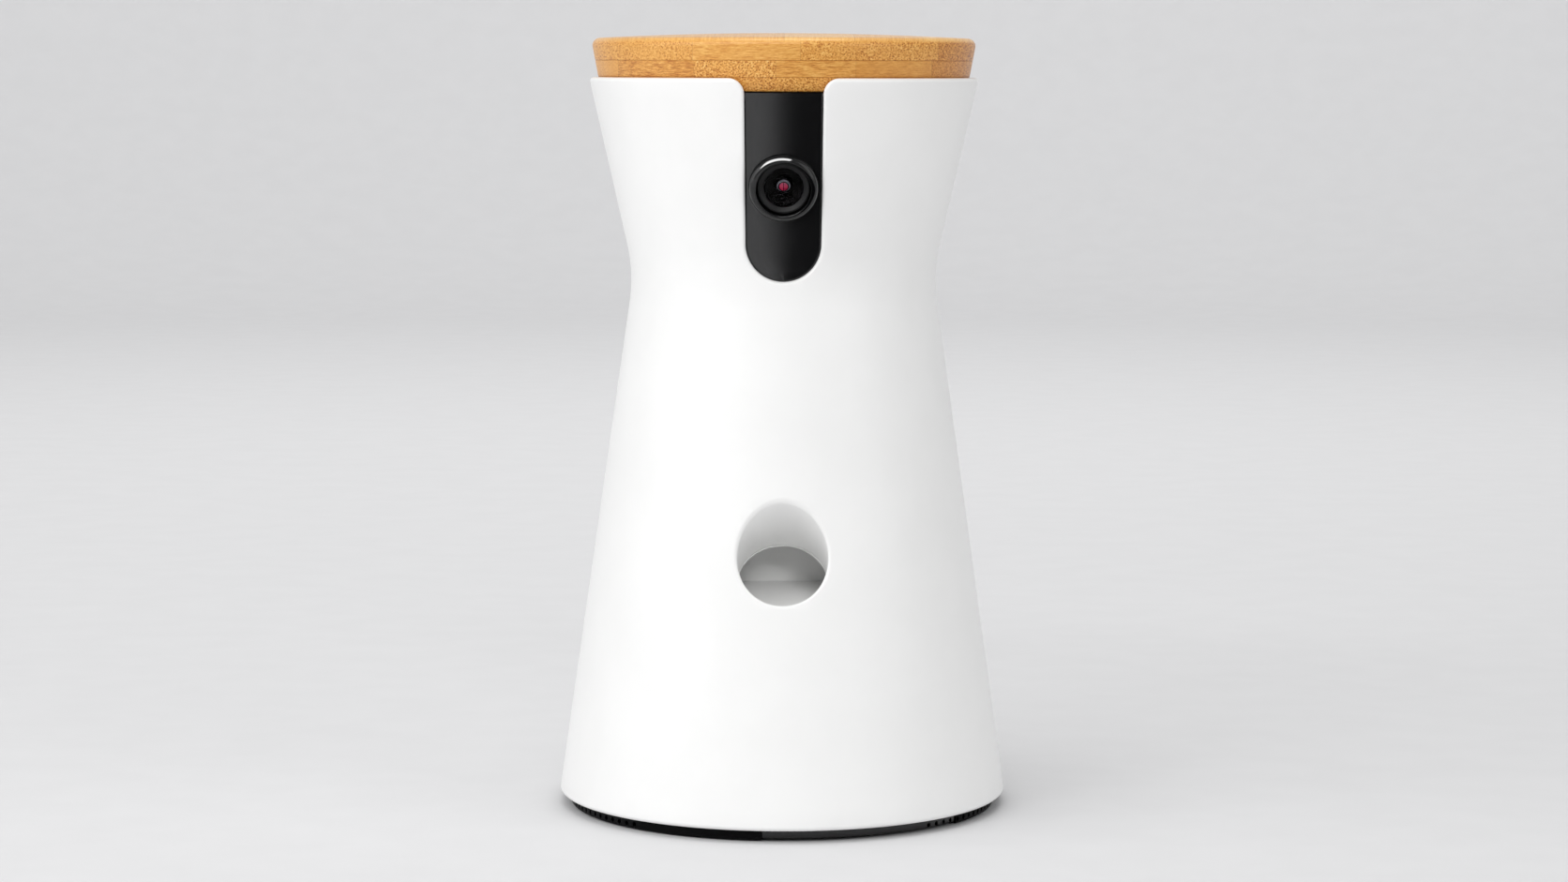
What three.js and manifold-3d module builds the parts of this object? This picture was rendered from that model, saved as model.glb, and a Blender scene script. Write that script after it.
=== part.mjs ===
// A treat tossing pet camera: an oval hourglass body with a bamboo lid, a camera in a notch below the lid,
// a treat bin with a turning feed disc, and a sprung paddle that throws a treat out of a sloping throat.
// Millimetres, +Z up. The front faces -Y, and the origin is on the table under the middle of the body.
import * as THREE from "three";
import { mergeVertices } from "three/addons/utils/BufferGeometryUtils.js";
import Module from "manifold-3d";

const wasm = await Module();
wasm.setup();

// Driving dimensions

const fit = { gap: 0.3, seat: 0.1, running: 0.08, overrun: 4 };

const facets = {
  oval: 48,
  round: 20,
  small: 12,
  tiny: 6,
  wire: 5,
  wireStepsPerTurn: 8,
  waistSteps: 4,
  arcStepDegrees: 22,
};

const body = {
  halfWidth: 65.3,
  halfDepth: 75,
  bottomZ: 3.4,
  bottomEdgeRadius: 1.2,
  waistZ: 155.4,
  waistHalfWidth: 43.65,
  waistRadius: 47,
  rimZ: 212.2,
  rimHalfWidth: 56.6,
  rimEdgeRadius: 1.1,
  wall: 2.1,
};

const notch = {
  topHalfWidth: 11,
  lowerHalfWidth: 10.6,
  bottomZ: 155.2,
  cornerRadius: 4.5,
};

const panel = {
  recess: 1,
  thickness: 1.6,
  flangeThickness: 1.2,
  flangeOverlap: 3,
  flangeTopDrop: 2.4,
};

const throat = {
  centreZ: 80.1,
  riseDegrees: 37,
  boreRadius: 12.65,
  wall: 1.6,
  length: 17.3,
};

const tray = {
  sideGap: 0.41,
  wall: 2,
  bottomZ: 0.3,
  topZ: 9,
  floorZ: 2.8,
  floorThickness: 2,
  holesEachSide: 12,
  holeRadius: 0.7,
  holeZ: 1.55,
  holeFirstDegrees: 42.4,
  holeStepDegrees: 2.9,
  slots: 5,
  slotLength: 22,
  slotWidth: 2.4,
  slotPitch: 5,
};

const lightWindow = {
  fromDegrees: -5.4,
  toDegrees: 53.3,
  recess: 0.4,
  thickness: 1.5,
  bottomZ: 0.85,
  topZ: 6.5,
  holes: 5,
};

const foot = { radius: 6.5, inset: 7.6, planDegrees: 43.2, edge: 0.6 };

const screw = {
  shankRadius: 1.3,
  length: 10,
  headRadius: 2.9,
  headHeight: 1.7,
  slotWidth: 0.9,
  slotLength: 3.6,
  slotDepth: 0.9,
};

const tower = {
  legInset: 4.6,
  legDegrees: 61.2,
  legRadius: 4,
  deckTopZ: 109,
  deckThickness: 3,
  sideGap: 0.55,
};

const hopper = {
  wellSideGap: 6.25,
  wall: 1.8,
  wellTopZ: 126,
  belowWaist: 4.8,
  waistSideGap: 1.35,
  flangeSideGap: 1,
  flangeWidth: 5.8,
  flangeThickness: 1.7,
  baySideGap: 0.9,
  bayBackGap: 3.4,
  bayFloorGap: 2.6,
  channelHalfWidth: 3.6,
  channelBackGap: 1.6,
};

const rotor = {
  thickness: 10.4,
  pockets: 4,
  pocketRadius: 8.6,
  rimWidth: 1.4,
  dropGap: 0.4,
  bossRadius: 10,
  bossHeight: 2,
  agitatorRadius: 11,
  agitatorHeight: 9,
  fins: 3,
  finLength: 17,
  finThickness: 2.4,
  finHeight: 4,
};

const feedShaft = {
  radius: 2.5,
  bottomZ: 96.3,
  bushRadius: 4.6,
  bushFlangeRadius: 6.5,
  bushFlangeHeight: 1.4,
};

const feedGears = { module: 0.9, gearTeeth: 30, pinionTeeth: 12, width: 4, bottomZ: 97.3, shaftRadius: 1.5 };

const feedMotor = {
  radius: 12,
  length: 24,
  plateThickness: 1.6,
  pillarX: 17,
  pillarRadius: 3,
  plateMargin: 3,
};

const toss = {
  wall: 1.8,
  sideGap: 0.05,
  pivotBehind: 5.44,
  pivotLift: 3.1,
  shaftRadius: 1.5,
  hubRadius: 2.7,
  paddleThickness: 2.2,
  paddleEndGap: 1.3,
  paddleSideGap: 0.8,
  restDegrees: 13.4,
  floorClearance: 0.6,
  floorDrop: 1.8,
  plateBottomZ: 23,
  plateFrontMargin: 11.6,
  plateBackMargin: 13,
  bossRadius: 3.6,
  bossLength: 5.3,
  earWidth: 6,
  earThickness: 2,
  earLength: 14,
};

const tossGears = {
  quadrantModule: 1,
  quadrantTeeth: 32,
  quadrantTeethKept: 6,
  releaseTeeth: 16,
  releaseTeethKept: 5,
  meshDegrees: -65,
  width: 3.5,
  sideGap: 1.4,
  driveModule: 0.9,
  reductionTeeth: 28,
  pinionTeeth: 10,
  reductionWidth: 3,
  shaftRadius: 1.5,
  quadrantHubRadius: 3.4,
  shaftTail: 1.2,
};

const tossMotor = { radius: 10.5, length: 27.5, noseRadius: 3, noseHole: 3.2, shaftRadius: 1 };

const spring = {
  coilRadius: 3.8,
  wireRadius: 0.5,
  turns: 3.5,
  pitch: 1.5,
  legLength: 8,
  armThickness: 1.8,
  armLength: 9,
  armWidth: 3,
  pinRadius: 0.7,
  pegRadius: 1,
};

const camera = {
  belowRim: 30.45,
  bezelRadius: 9.65,
  bezelCrestRadius: 9.2,
  bezelHeight: 2.5,
  bezelInnerRadius: 7.6,
  bezelInnerHeight: 1.1,
  bezelDepth: 5,
  bezelEdge: 0.5,
  barrelRadius: 7.3,
  barrelFrontHeight: 0.8,
  barrelLength: 14,
  barrelLip: 0.5,
  glassRadius: 5.6,
  glassEdgeDepth: 1,
  glassRise: 0.7,
  throatRadius: 2.6,
  throatDepth: 4.6,
  innerGlassThickness: 1.3,
  rearBoreRadius: 3.6,
  holderSide: 16,
  holderLength: 7,
  sensorSide: 7,
  sensorThickness: 1.2,
  boardThickness: 1.2,
  boardHalfWidth: 10,
  boardAbove: 20,
  boardBelow: 19,
  infraredLow: 11.6,
  infraredHigh: 18.6,
  infraredHalfWidth: 8,
  infraredDrop: 2.6,
  lampRadius: 1.6,
  lampHeight: 1.4,
  lampX: 4.6,
  spacerRadius: 1.2,
};

const lid = { sunk: 3.8, height: 16.6, sideGap: 0.45, shoulderInset: 0.58, edgeRadius: 2.2, crownRise: 1.6 };

const plug = {
  sideGap: 1.3,
  depth: 9,
  wall: 1.8,
  capThickness: 1.5,
  frontGap: 0.8,
  grooveDepth: 0.8,
  sealHeight: 3,
  sealRise: 2.6,
  sealProud: 1.3,
};

const board = {
  halfWidth: 22,
  length: 46,
  bottomZ: 13,
  thickness: 1.6,
  postX: 18,
  postInset: 7,
  postRadius: 2.5,
  chipSide: 9,
  chipHeight: 1.2,
  capRadius: 3.2,
  capHeight: 7,
};

const usb = {
  halfWidth: 3.8,
  height: 2.8,
  length: 5.6,
  backGap: 1.25,
  wall: 0.5,
  mouthDepth: 4.6,
  proud: 3.5,
  openingHalfWidth: 6,
  openingHeight: 8,
  openingCorner: 1.5,
};

const wifi = { halfWidth: 8, length: 14, height: 2.4, fromBack: 22, x: 13 };

const button = {
  x: -17,
  fromBack: 24,
  stemRadius: 1.8,
  holeClearance: 0.3,
  bottomZ: 1.2,
  flangeRadius: 2.8,
  flangeHeight: 1,
  travel: 0.6,
  switchSide: 5,
  switchHeight: 1.6,
};

const ballast = { halfWidth: 13, frontGap: 4.5, backInset: 6, thickness: 6, corner: 3 };

const speaker = {
  y: -32,
  radius: 17.5,
  rimWidth: 2.3,
  rimHeight: 1.4,
  basketRadius: 9.6,
  basketZ: 11.2,
  throatRadius: 5,
  neckHeight: 1,
  sheet: 0.6,
  coneThickness: 0.4,
  domeRise: 1.2,
  magnetRadius: 9,
  magnetHeight: 4.4,
};

const lights = {
  planDegrees: 24,
  inset: 6.1,
  length: 36,
  height: 5.4,
  thickness: 1.2,
  lamps: 3,
  lampSize: 1.8,
  lampHeight: 0.8,
  lampPitch: 11,
};

const wiring = {
  radius: 1.3,
  leadRadius: 1,
  sides: 8,
  steps: 30,
  holeClearance: 1.2,
  holeInset: 6,
  holeDegrees: -26.9,
  cableInset: 10,
  leadInset: 6,
};

// Values worked out from the driving dimensions

const radians = THREE.MathUtils.degToRad;
const depthRatio = body.halfDepth / body.halfWidth;
const deckBottomZ = tower.deckTopZ - tower.deckThickness;
const floorTopZ = tray.floorZ + tray.floorThickness;
const trayHalfWidth = halfWidthInside(tray.topZ) - tray.sideGap;
const deckHalfWidth = halfWidthInside(tower.deckTopZ) - tower.sideGap;
const lidBottomZ = body.rimZ - lid.sunk;
const lidTopZ = lidBottomZ + lid.height;
const lidBottomHalfWidth = halfWidthInside(lidBottomZ) - lid.sideGap;
const hopperTopZ = lidBottomZ - fit.gap;
const bayTopZ = hopperTopZ - hopper.flangeThickness;
const bayHalfWidth = notch.topHalfWidth + panel.flangeOverlap + hopper.baySideGap;
const bayBottomZ = notch.bottomZ - panel.flangeOverlap - hopper.bayFloorGap;
const wellRadius = halfWidthInside(hopper.wellTopZ) - hopper.wall - hopper.wellSideGap;
const channelBackY = -wellRadius - hopper.wall - hopper.channelBackGap;
const binWaistZ = body.waistZ - hopper.belowWaist;
const binWaistHalfWidth = halfWidthInside(binWaistZ) - hopper.waistSideGap;
const binFlangeHalfWidth = halfWidthInside(bayTopZ) - hopper.flangeSideGap;
const binMouthHalfWidth = binFlangeHalfWidth - hopper.flangeWidth;
const rotorBottomZ = tower.deckTopZ + fit.gap + fit.seat;
const rotorTopZ = rotorBottomZ + rotor.thickness;
const rotorRadius = wellRadius - fit.gap - fit.gap;
const pocketCircle = rotorRadius - rotor.pocketRadius - rotor.rimWidth;
const dropRadius = rotor.pocketRadius + rotor.dropGap;
const cameraZ = body.rimZ - camera.belowRim;
const tossHalfWidth = throat.boreRadius + throat.wall + toss.sideGap;
const paddleHalfWidth = tossHalfWidth - toss.paddleSideGap;
const boardTopZ = board.bottomZ + board.thickness;
const usbZ = boardTopZ + usb.height / 2;
const usbFrontY = halfWidthInside(usbZ) * depthRatio - usb.backGap;
const boardBackY = usbFrontY - usb.proud;
const boardFrontY = boardBackY - board.length;
const buttonY = boardBackY - button.fromBack;
const [wireHoleX, wireHoleY] = onOval(deckHalfWidth - wiring.holeInset, wiring.holeDegrees);

// Outlines

// The arc that rounds a corner between two straight runs, as points; a corner with no radius stays sharp.
function cornerArc(before, [x, y, radius = 0], after, steps) {
  if (!radius) return [[x, y]];
  const corner = new THREE.Vector2(x, y);
  const back = new THREE.Vector2(before[0], before[1]).sub(corner).normalize();
  const on = new THREE.Vector2(after[0], after[1]).sub(corner).normalize();
  const half = Math.acos(THREE.MathUtils.clamp(back.dot(on), -1, 1)) / 2;
  const centre = back.clone().add(on).normalize().multiplyScalar(radius / Math.sin(half)).add(corner);
  const start = back.multiplyScalar(radius / Math.tan(half)).add(corner).sub(centre);
  const end = on.multiplyScalar(radius / Math.tan(half)).add(corner).sub(centre);
  const turn = Math.atan2(start.cross(end), start.dot(end));
  const count = steps ?? Math.max(2, Math.ceil(Math.abs(turn) / radians(facets.arcStepDegrees)));
  return Array.from({ length: count + 1 }, (_, i) => {
    const p = start.clone().rotateAround(new THREE.Vector2(), (turn * i) / count).add(centre);
    return [p.x, p.y];
  });
}

// A closed outline whose corners [x, y, radius] are rounded.
function rounded(corners, steps) {
  const count = corners.length;
  return corners.flatMap((c, i) => cornerArc(corners.at(i - 1), c, corners[(i + 1) % count], steps));
}

function rectangle(x0, y0, x1, y1, radius = 0) {
  return rounded([[x0, y0, radius], [x1, y0, radius], [x1, y1, radius], [x0, y1, radius]]);
}

// The outer taper of the body seen from the front, from the bottom edge over the waist to the rim.
function bodyTaper() {
  const foot = [body.halfWidth, body.bottomZ];
  const rim = [body.rimHalfWidth, body.rimZ];
  const waist = cornerArc(foot, [body.waistHalfWidth, body.waistZ, body.waistRadius], rim, facets.waistSteps);
  return [foot, ...waist, rim];
}

// Half the body's width at a height, on the straight tapers or the waist.
function halfWidthAt(z) {
  const line = bodyTaper();
  const above = line.findIndex((p) => p[1] >= z);
  const i = above < 0 ? line.length - 1 : Math.max(above, 1);
  const [x0, z0] = line[i - 1];
  const [x1, z1] = line[i];
  return x0 + ((x1 - x0) * (z - z0)) / (z1 - z0);
}

// Half the width of the room inside the body's wall at a height.
function halfWidthInside(z) {
  return halfWidthAt(z) - body.wall;
}

// A place on an oval round the body's axis, at an angle from the front in the plan before it is stretched.
function onOval(halfWidth, degrees) {
  const a = radians(degrees);
  return [halfWidth * Math.sin(a), -halfWidth * Math.cos(a) * depthRatio];
}

// The section of a skin that follows the body between two heights, a given depth in from its surface.
function bodyBand(outerInset, innerInset, z0, z1) {
  const heights = [z0, ...bodyTaper().map((p) => p[1]).filter((z) => z > z0 && z < z1), z1];
  const outer = heights.map((z) => [halfWidthAt(z) - outerInset, z]);
  const inner = heights.map((z) => [halfWidthAt(z) - innerInset, z]);
  return [...outer, ...inner.reverse()];
}

// The notch in the front of the body, in X and Z, drawn in by a gap on its sides and bottom.
function notchOutline(inset, topZ, cornerRadius) {
  const top = notch.topHalfWidth - inset;
  const low = notch.lowerHalfWidth - inset;
  const centreZ = notch.bottomZ + notch.lowerHalfWidth;
  const bowl = Array.from({ length: facets.round / 2 + 1 }, (_, i) => {
    const a = (Math.PI * i) / (facets.round / 2);
    return [-low * Math.cos(a), centreZ - low * Math.sin(a)];
  });
  if (!cornerRadius) return [[-top, topZ], ...bowl, [top, topZ]];
  const far = top + cornerRadius + cornerRadius;
  const high = topZ + fit.overrun;
  const left = cornerArc([-far, topZ], [-top, topZ, cornerRadius], bowl[0]);
  const right = left.map(([x, z]) => [-x, z]).reverse();
  return [[-far, high], [-far, topZ], ...left, ...bowl, ...right, [far, topZ], [far, high]];
}

// Half the angle of a gear tooth at a radius, for involute flanks.
function toothHalfAngle(radius, pitchRadius, teeth) {
  const pressure = radians(25);
  const thicknessShare = 0.45;
  const base = pitchRadius * Math.cos(pressure);
  const involute = (angle) => Math.tan(angle) - angle;
  const at = Math.acos(Math.min(1, base / radius));
  return (Math.PI * thicknessShare) / teeth + involute(pressure) - involute(at);
}

// The outline of a spur gear, its first tooth centred on an angle; teeth that are left out are bare root.
function gearOutline(module, teeth, firstAngle, kept = teeth) {
  const addendumShare = 0.82;
  const dedendumShare = 1.15;
  const pitchRadius = (module * teeth) / 2;
  const root = pitchRadius - module * dedendumShare;
  const tip = pitchRadius + module * addendumShare;
  const radii = [root, tip];
  const outline = [];
  for (let tooth = 0; tooth < teeth; tooth++) {
    const middle = firstAngle + (tooth * 2 * Math.PI) / teeth;
    if (tooth >= kept) {
      outline.push([root * Math.cos(middle), root * Math.sin(middle)]);
      continue;
    }
    const flank = radii.map((r) => [r, toothHalfAngle(r, pitchRadius, teeth)]);
    const both = [...flank.map(([r, a]) => [r, -a]), ...flank.reverse()];
    both.forEach(([r, a]) => outline.push([r * Math.cos(middle + a), r * Math.sin(middle + a)]));
  }
  return outline;
}

function circle(radius, sides, x = 0, y = 0) {
  return Array.from({ length: sides }, (_, i) => {
    const a = (2 * Math.PI * i) / sides;
    return [x + radius * Math.cos(a), y + radius * Math.sin(a)];
  });
}

// Solids

// A closed geometry as a solid that can be cut and joined.
function solid(geometry) {
  const bare = geometry.clone();
  const extras = Object.keys(bare.attributes).filter((name) => name !== "position");
  extras.forEach((name) => bare.deleteAttribute(name));
  const merged = mergeVertices(bare);
  const index = merged.index.array;
  const kept = [];
  for (let i = 0; i < index.length; i += 3) {
    const [a, b, c] = index.slice(i, i + 3);
    if (a !== b && b !== c && c !== a) kept.push(a, b, c);
  }
  return new wasm.Manifold(
    new wasm.Mesh({
      numProp: 3,
      vertProperties: new Float32Array(merged.attributes.position.array),
      triVerts: new Uint32Array(kept),
    }),
  );
}

function geometryOf(shape) {
  const mesh = shape.getMesh();
  const geometry = new THREE.BufferGeometry();
  geometry.setAttribute("position", new THREE.BufferAttribute(mesh.vertProperties, mesh.numProp));
  geometry.setIndex(new THREE.BufferAttribute(mesh.triVerts, 1));
  return geometry;
}

// A round solid about +Z from its section of [radius, height] points. A section off the axis is closed.
function spun(section, sides = facets.round) {
  const onAxis = section[0][0] === 0;
  const points = onAxis ? section : [...section, section[0]];
  const geometry = new THREE.LatheGeometry(points.map(([r, z]) => new THREE.Vector2(r, z)), sides);
  return solid(geometry.rotateX(Math.PI / 2));
}

// The same solid with its depth stretched, by one ratio or by a ratio for each height.
function stretched(shape, ratioAt = () => depthRatio) {
  const geometry = geometryOf(shape);
  const place = geometry.attributes.position;
  for (let i = 0; i < place.count; i++) place.setY(i, place.getY(i) * ratioAt(place.getZ(i)));
  return solid(geometry);
}

const ovalSpun = (section) => stretched(spun(section, facets.oval));

// A flat outline, with holes, pulled up along +Z between two heights.
function pulled(outline, z0, z1, holes = []) {
  const shape = new THREE.Shape(outline.map(([x, y]) => new THREE.Vector2(x, y)));
  holes.forEach((hole) => shape.holes.push(new THREE.Path(hole.map(([x, y]) => new THREE.Vector2(x, y)))));
  const geometry = new THREE.ExtrudeGeometry(shape, { depth: z1 - z0, bevelEnabled: false });
  return geometry.translate(0, 0, z0);
}

const axisX = new THREE.Vector3(1, 0, 0);
const axisY = new THREE.Vector3(0, 1, 0);
const axisZ = new THREE.Vector3(0, 0, 1);

// An outline in Y and Z pulled along +X, and one in X and Z pulled along -Y.
const acrossX = new THREE.Matrix4().makeBasis(axisY, axisZ, axisX);
const towardFront = new THREE.Matrix4().makeBasis(axisX, axisZ, axisY.clone().negate());

function plateX(outline, x0, x1, holes) {
  return solid(pulled(outline, x0, x1, holes).applyMatrix4(acrossX));
}

function plateFront(outline, y0, y1, holes) {
  return solid(pulled(outline, -y1, -y0, holes).applyMatrix4(towardFront));
}

const plateZ = (outline, z0, z1, holes) => solid(pulled(outline, z0, z1, holes));

function block(x0, y0, z0, x1, y1, z1) {
  const geometry = new THREE.BoxGeometry(x1 - x0, y1 - y0, z1 - z0);
  return solid(geometry.translate((x0 + x1) / 2, (y0 + y1) / 2, (z0 + z1) / 2));
}

// A round rod between two points.
function rod(radius, from, to, sides = facets.round) {
  const a = new THREE.Vector3(...from);
  const b = new THREE.Vector3(...to);
  const geometry = new THREE.CylinderGeometry(radius, radius, a.distanceTo(b), sides);
  const turn = new THREE.Quaternion().setFromUnitVectors(axisY, b.clone().sub(a).normalize());
  const middle = a.clone().add(b).multiplyScalar(0.5);
  return solid(geometry.applyQuaternion(turn).translate(middle.x, middle.y, middle.z));
}

function rodX(radius, x0, x1, y = 0, z = 0, sides = facets.round) {
  return rod(radius, [x0, y, z], [x1, y, z], sides);
}

function rodZ(radius, z0, z1, x = 0, y = 0, sides = facets.round) {
  return rod(radius, [x, y, z0], [x, y, z1], sides);
}

// A round wire or cable along a smooth curve through points.
function tube(points, radius, sides, steps) {
  const path = new THREE.CatmullRomCurve3(points.map((p) => new THREE.Vector3(...p)), false, "centripetal");
  const section = new THREE.Shape(circle(radius, sides).map(([x, y]) => new THREE.Vector2(x, y)));
  return new THREE.ExtrudeGeometry(section, { steps, extrudePath: path, bevelEnabled: false });
}

const joined = (first, ...more) => more.reduce((whole, next) => whole.add(next), first);
const cut = (whole, ...tools) => tools.reduce((left, tool) => left.subtract(tool), whole);

// Finishes

function finish(color, roughness, metalness = 0, more = {}) {
  return new THREE.MeshStandardMaterial({ color, roughness, metalness, flatShading: true, ...more });
}

const finishes = {
  whiteShell: finish(0xf4f4f2, 0.42),
  greyPlastic: finish(0xd6d6d3, 0.5),
  blackPlastic: finish(0x1d1d1f, 0.5),
  glossBlack: finish(0x08080a, 0.08),
  lensRing: finish(0x161617, 0.35),
  glass: finish(0x0a0608, 0.03, 0, { transparent: true, opacity: 0.45 }),
  redGlass: finish(0xa02038, 0.08),
  bamboo: finish(0xd9a561, 0.5),
  rubber: finish(0x2a2a2c, 0.8),
  silicone: finish(0xe4e4e0, 0.65),
  steel: finish(0x9a9ca0, 0.3, 1),
  motorCan: finish(0xb4b7ba, 0.35, 1),
  brass: finish(0xb8944a, 0.35, 1),
  gearPlastic: finish(0xe9e4d4, 0.5),
  circuitBoard: finish(0x1d5a37, 0.5),
  chip: finish(0x1b1b1d, 0.4),
  smokedWindow: finish(0x101012, 0.2),
  speakerPaper: finish(0x2b2b2b, 0.85),
  cable: finish(0x24262a, 0.6),
};

const product = new THREE.Group();

// Adds one named piece; a group places pieces that are drawn in their own frame.
function piece(name, shape, material, group = product) {
  const geometry = shape.isBufferGeometry ? shape : geometryOf(shape);
  const mesh = new THREE.Mesh(geometry, material);
  mesh.name = name;
  group.add(mesh);
  return mesh;
}

function unit(position, rotation = [0, 0, 0]) {
  const group = new THREE.Group();
  group.position.set(...position);
  group.rotation.set(...rotation);
  product.add(group);
  return group;
}

// The throat and what lies behind it, in Y and Z

const rise = radians(throat.riseDegrees);
const inward = [Math.cos(rise), -Math.sin(rise)];
const across = [Math.sin(rise), Math.cos(rise)];
const throatMouth = [-halfWidthAt(throat.centreZ) * depthRatio, throat.centreZ];

// A point in Y and Z, a way in along the throat from its inner end and a way up across it.
function behindThroat(along, up) {
  return [0, 1].map((i) => throatMouth[i] + inward[i] * (throat.length + along) + across[i] * up);
}

const pivot = behindThroat(toss.pivotBehind, toss.pivotLift - throat.boreRadius);
const chuteBackY = -pocketCircle + dropRadius + fit.gap + fit.seat;
const paddleRoom = (chuteBackY - pivot[0]) / Math.cos(radians(toss.restDegrees));
const paddleLength = paddleRoom - toss.paddleEndGap;

// A point in Y and Z at a distance and an angle from another.
function polar([y, z], radius, angle) {
  return [y + radius * Math.cos(angle), z + radius * Math.sin(angle)];
}

const quadrantRadius = (tossGears.quadrantModule * tossGears.quadrantTeeth) / 2;
const releaseRadius = (tossGears.quadrantModule * tossGears.releaseTeeth) / 2;
const meshAngle = radians(tossGears.meshDegrees);
const releaseCentre = polar(pivot, quadrantRadius + releaseRadius, meshAngle);
const driveDistance = (tossGears.driveModule * (tossGears.reductionTeeth + tossGears.pinionTeeth)) / 2;
const motorCentre = polar(releaseCentre, driveDistance, 0);
const tossSideX = tossHalfWidth + toss.wall;
const quadrantX = tossSideX + tossGears.sideGap;
const reductionX = quadrantX + tossGears.width + tossGears.sideGap;

// The outer shell

function outerShell() {
  const [bottomIn, bottomOut] = [-body.wall, 0].map((grow) => body.halfWidth + grow);
  const rimIn = body.rimHalfWidth - body.wall;
  const waistOut = bodyTaper().slice(1, -1);
  const waistIn = waistOut.map(([x, z]) => [x - body.wall, z]).reverse();
  const wallSection = rounded([
    [bottomIn, body.bottomZ],
    [bottomOut, body.bottomZ, body.bottomEdgeRadius],
    ...waistOut,
    [body.rimHalfWidth, body.rimZ, body.rimEdgeRadius],
    [rimIn, body.rimZ],
    ...waistIn,
  ]);
  const skin = ovalSpun(wallSection);
  const filled = ovalSpun([[0, body.bottomZ], ...bodyTaper(), [0, body.rimZ]]);
  const outside = behindThroat(-throat.length - throat.boreRadius * 2, 0);
  const inside = behindThroat(0, 0);
  const past = behindThroat(fit.overrun, 0);
  const collar = rod(throat.boreRadius + throat.wall, [0, ...outside], [0, ...inside]).intersect(filled);
  const bore = rod(throat.boreRadius, [0, ...outside], [0, ...past]);
  const notchCut = plateFront(notchOutline(0, body.rimZ, notch.cornerRadius), -body.halfDepth, 0);
  const usbOutline = rectangle(
    -usb.openingHalfWidth,
    usbZ - usb.openingHeight / 2,
    usb.openingHalfWidth,
    usbZ + usb.openingHeight / 2,
    usb.openingCorner,
  );
  const usbCut = plateFront(usbOutline, 0, body.halfDepth + fit.overrun);
  return cut(joined(skin, collar), bore, notchCut, usbCut);
}

// The base

// A wedge of the body's plan between two angles from the front, drawn before the depth is stretched.
function wedge(fromDegrees, toDegrees, z0, z1) {
  const reach = body.halfWidth * 2;
  const corners = [fromDegrees, (fromDegrees + toDegrees) / 2, toDegrees].map((degrees) => {
    const a = radians(degrees - 90);
    return [reach * Math.cos(a), reach * Math.sin(a)];
  });
  return plateZ([[0, 0], ...corners], z0, z1);
}

// Short rods that drill the skirt at even steps round the front, on one side.
function skirtDrills(side, count = tray.holesEachSide) {
  return Array.from({ length: count }, (_, i) => {
    const a = radians(side * (tray.holeFirstDegrees + i * tray.holeStepDegrees) - 90);
    const near = trayHalfWidth - tray.wall - fit.overrun;
    const far = trayHalfWidth + fit.overrun;
    return rod(
      tray.holeRadius,
      [near * Math.cos(a), near * Math.sin(a), tray.holeZ],
      [far * Math.cos(a), far * Math.sin(a), tray.holeZ],
      facets.tiny,
    );
  });
}

function legPlaces() {
  const [x, y] = onOval(deckHalfWidth - tower.legInset, tower.legDegrees);
  return [-1, 1].flatMap((sx) => [1, -1].map((sy) => [sx * x, sy * y]));
}

function postPlaces() {
  const ys = [boardFrontY + board.postInset, boardBackY - board.postInset];
  return [-1, 1].flatMap((sx) => ys.map((y) => [sx * board.postX, y]));
}

function baseTray() {
  const inner = trayHalfWidth - tray.wall;
  const ring = spun(
    [
      [0, tray.floorZ],
      [inner, tray.floorZ],
      [inner, tray.bottomZ],
      [trayHalfWidth, tray.bottomZ],
      [trayHalfWidth, tray.topZ],
      [inner, tray.topZ],
      [inner, floorTopZ],
      [0, floorTopZ],
    ],
    facets.oval,
  );
  const outside = spun(
    [
      [inner - fit.gap, tray.bottomZ - fit.overrun],
      [trayHalfWidth + fit.overrun, tray.bottomZ - fit.overrun],
      [trayHalfWidth + fit.overrun, lightWindow.topZ + fit.gap],
      [inner - fit.gap, lightWindow.topZ + fit.gap],
    ],
    facets.oval,
  );
  const windowCut = wedge(
    lightWindow.fromDegrees,
    lightWindow.toDegrees,
    tray.bottomZ - fit.overrun - fit.gap,
    lightWindow.topZ + fit.overrun,
  ).intersect(outside);
  const drilled = stretched(cut(ring, windowCut, ...skirtDrills(-1), ...skirtDrills(1)));
  const posts = postPlaces().map(([x, y]) =>
    rodZ(board.postRadius, tray.floorZ, board.bottomZ - fit.seat, x, y, facets.small),
  );
  const holeTop = floorTopZ + fit.overrun;
  const screwHoles = legPlaces().map(([x, y]) =>
    rodZ(screw.shankRadius + fit.gap, tray.bottomZ, holeTop, x, y, facets.small),
  );
  const buttonHoleRadius = button.stemRadius + button.holeClearance;
  const buttonHole = rodZ(buttonHoleRadius, tray.bottomZ, holeTop, button.x, buttonY);
  const slots = Array.from({ length: tray.slots }, (_, i) => {
    const y = speaker.y + (i - (tray.slots - 1) / 2) * tray.slotPitch;
    const outline = rectangle(
      -tray.slotLength / 2,
      y - tray.slotWidth / 2,
      tray.slotLength / 2,
      y + tray.slotWidth / 2,
      tray.slotWidth / 3,
    );
    return plateZ(outline, tray.bottomZ, holeTop);
  });
  return cut(joined(drilled, ...posts), ...screwHoles, buttonHole, ...slots);
}

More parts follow.
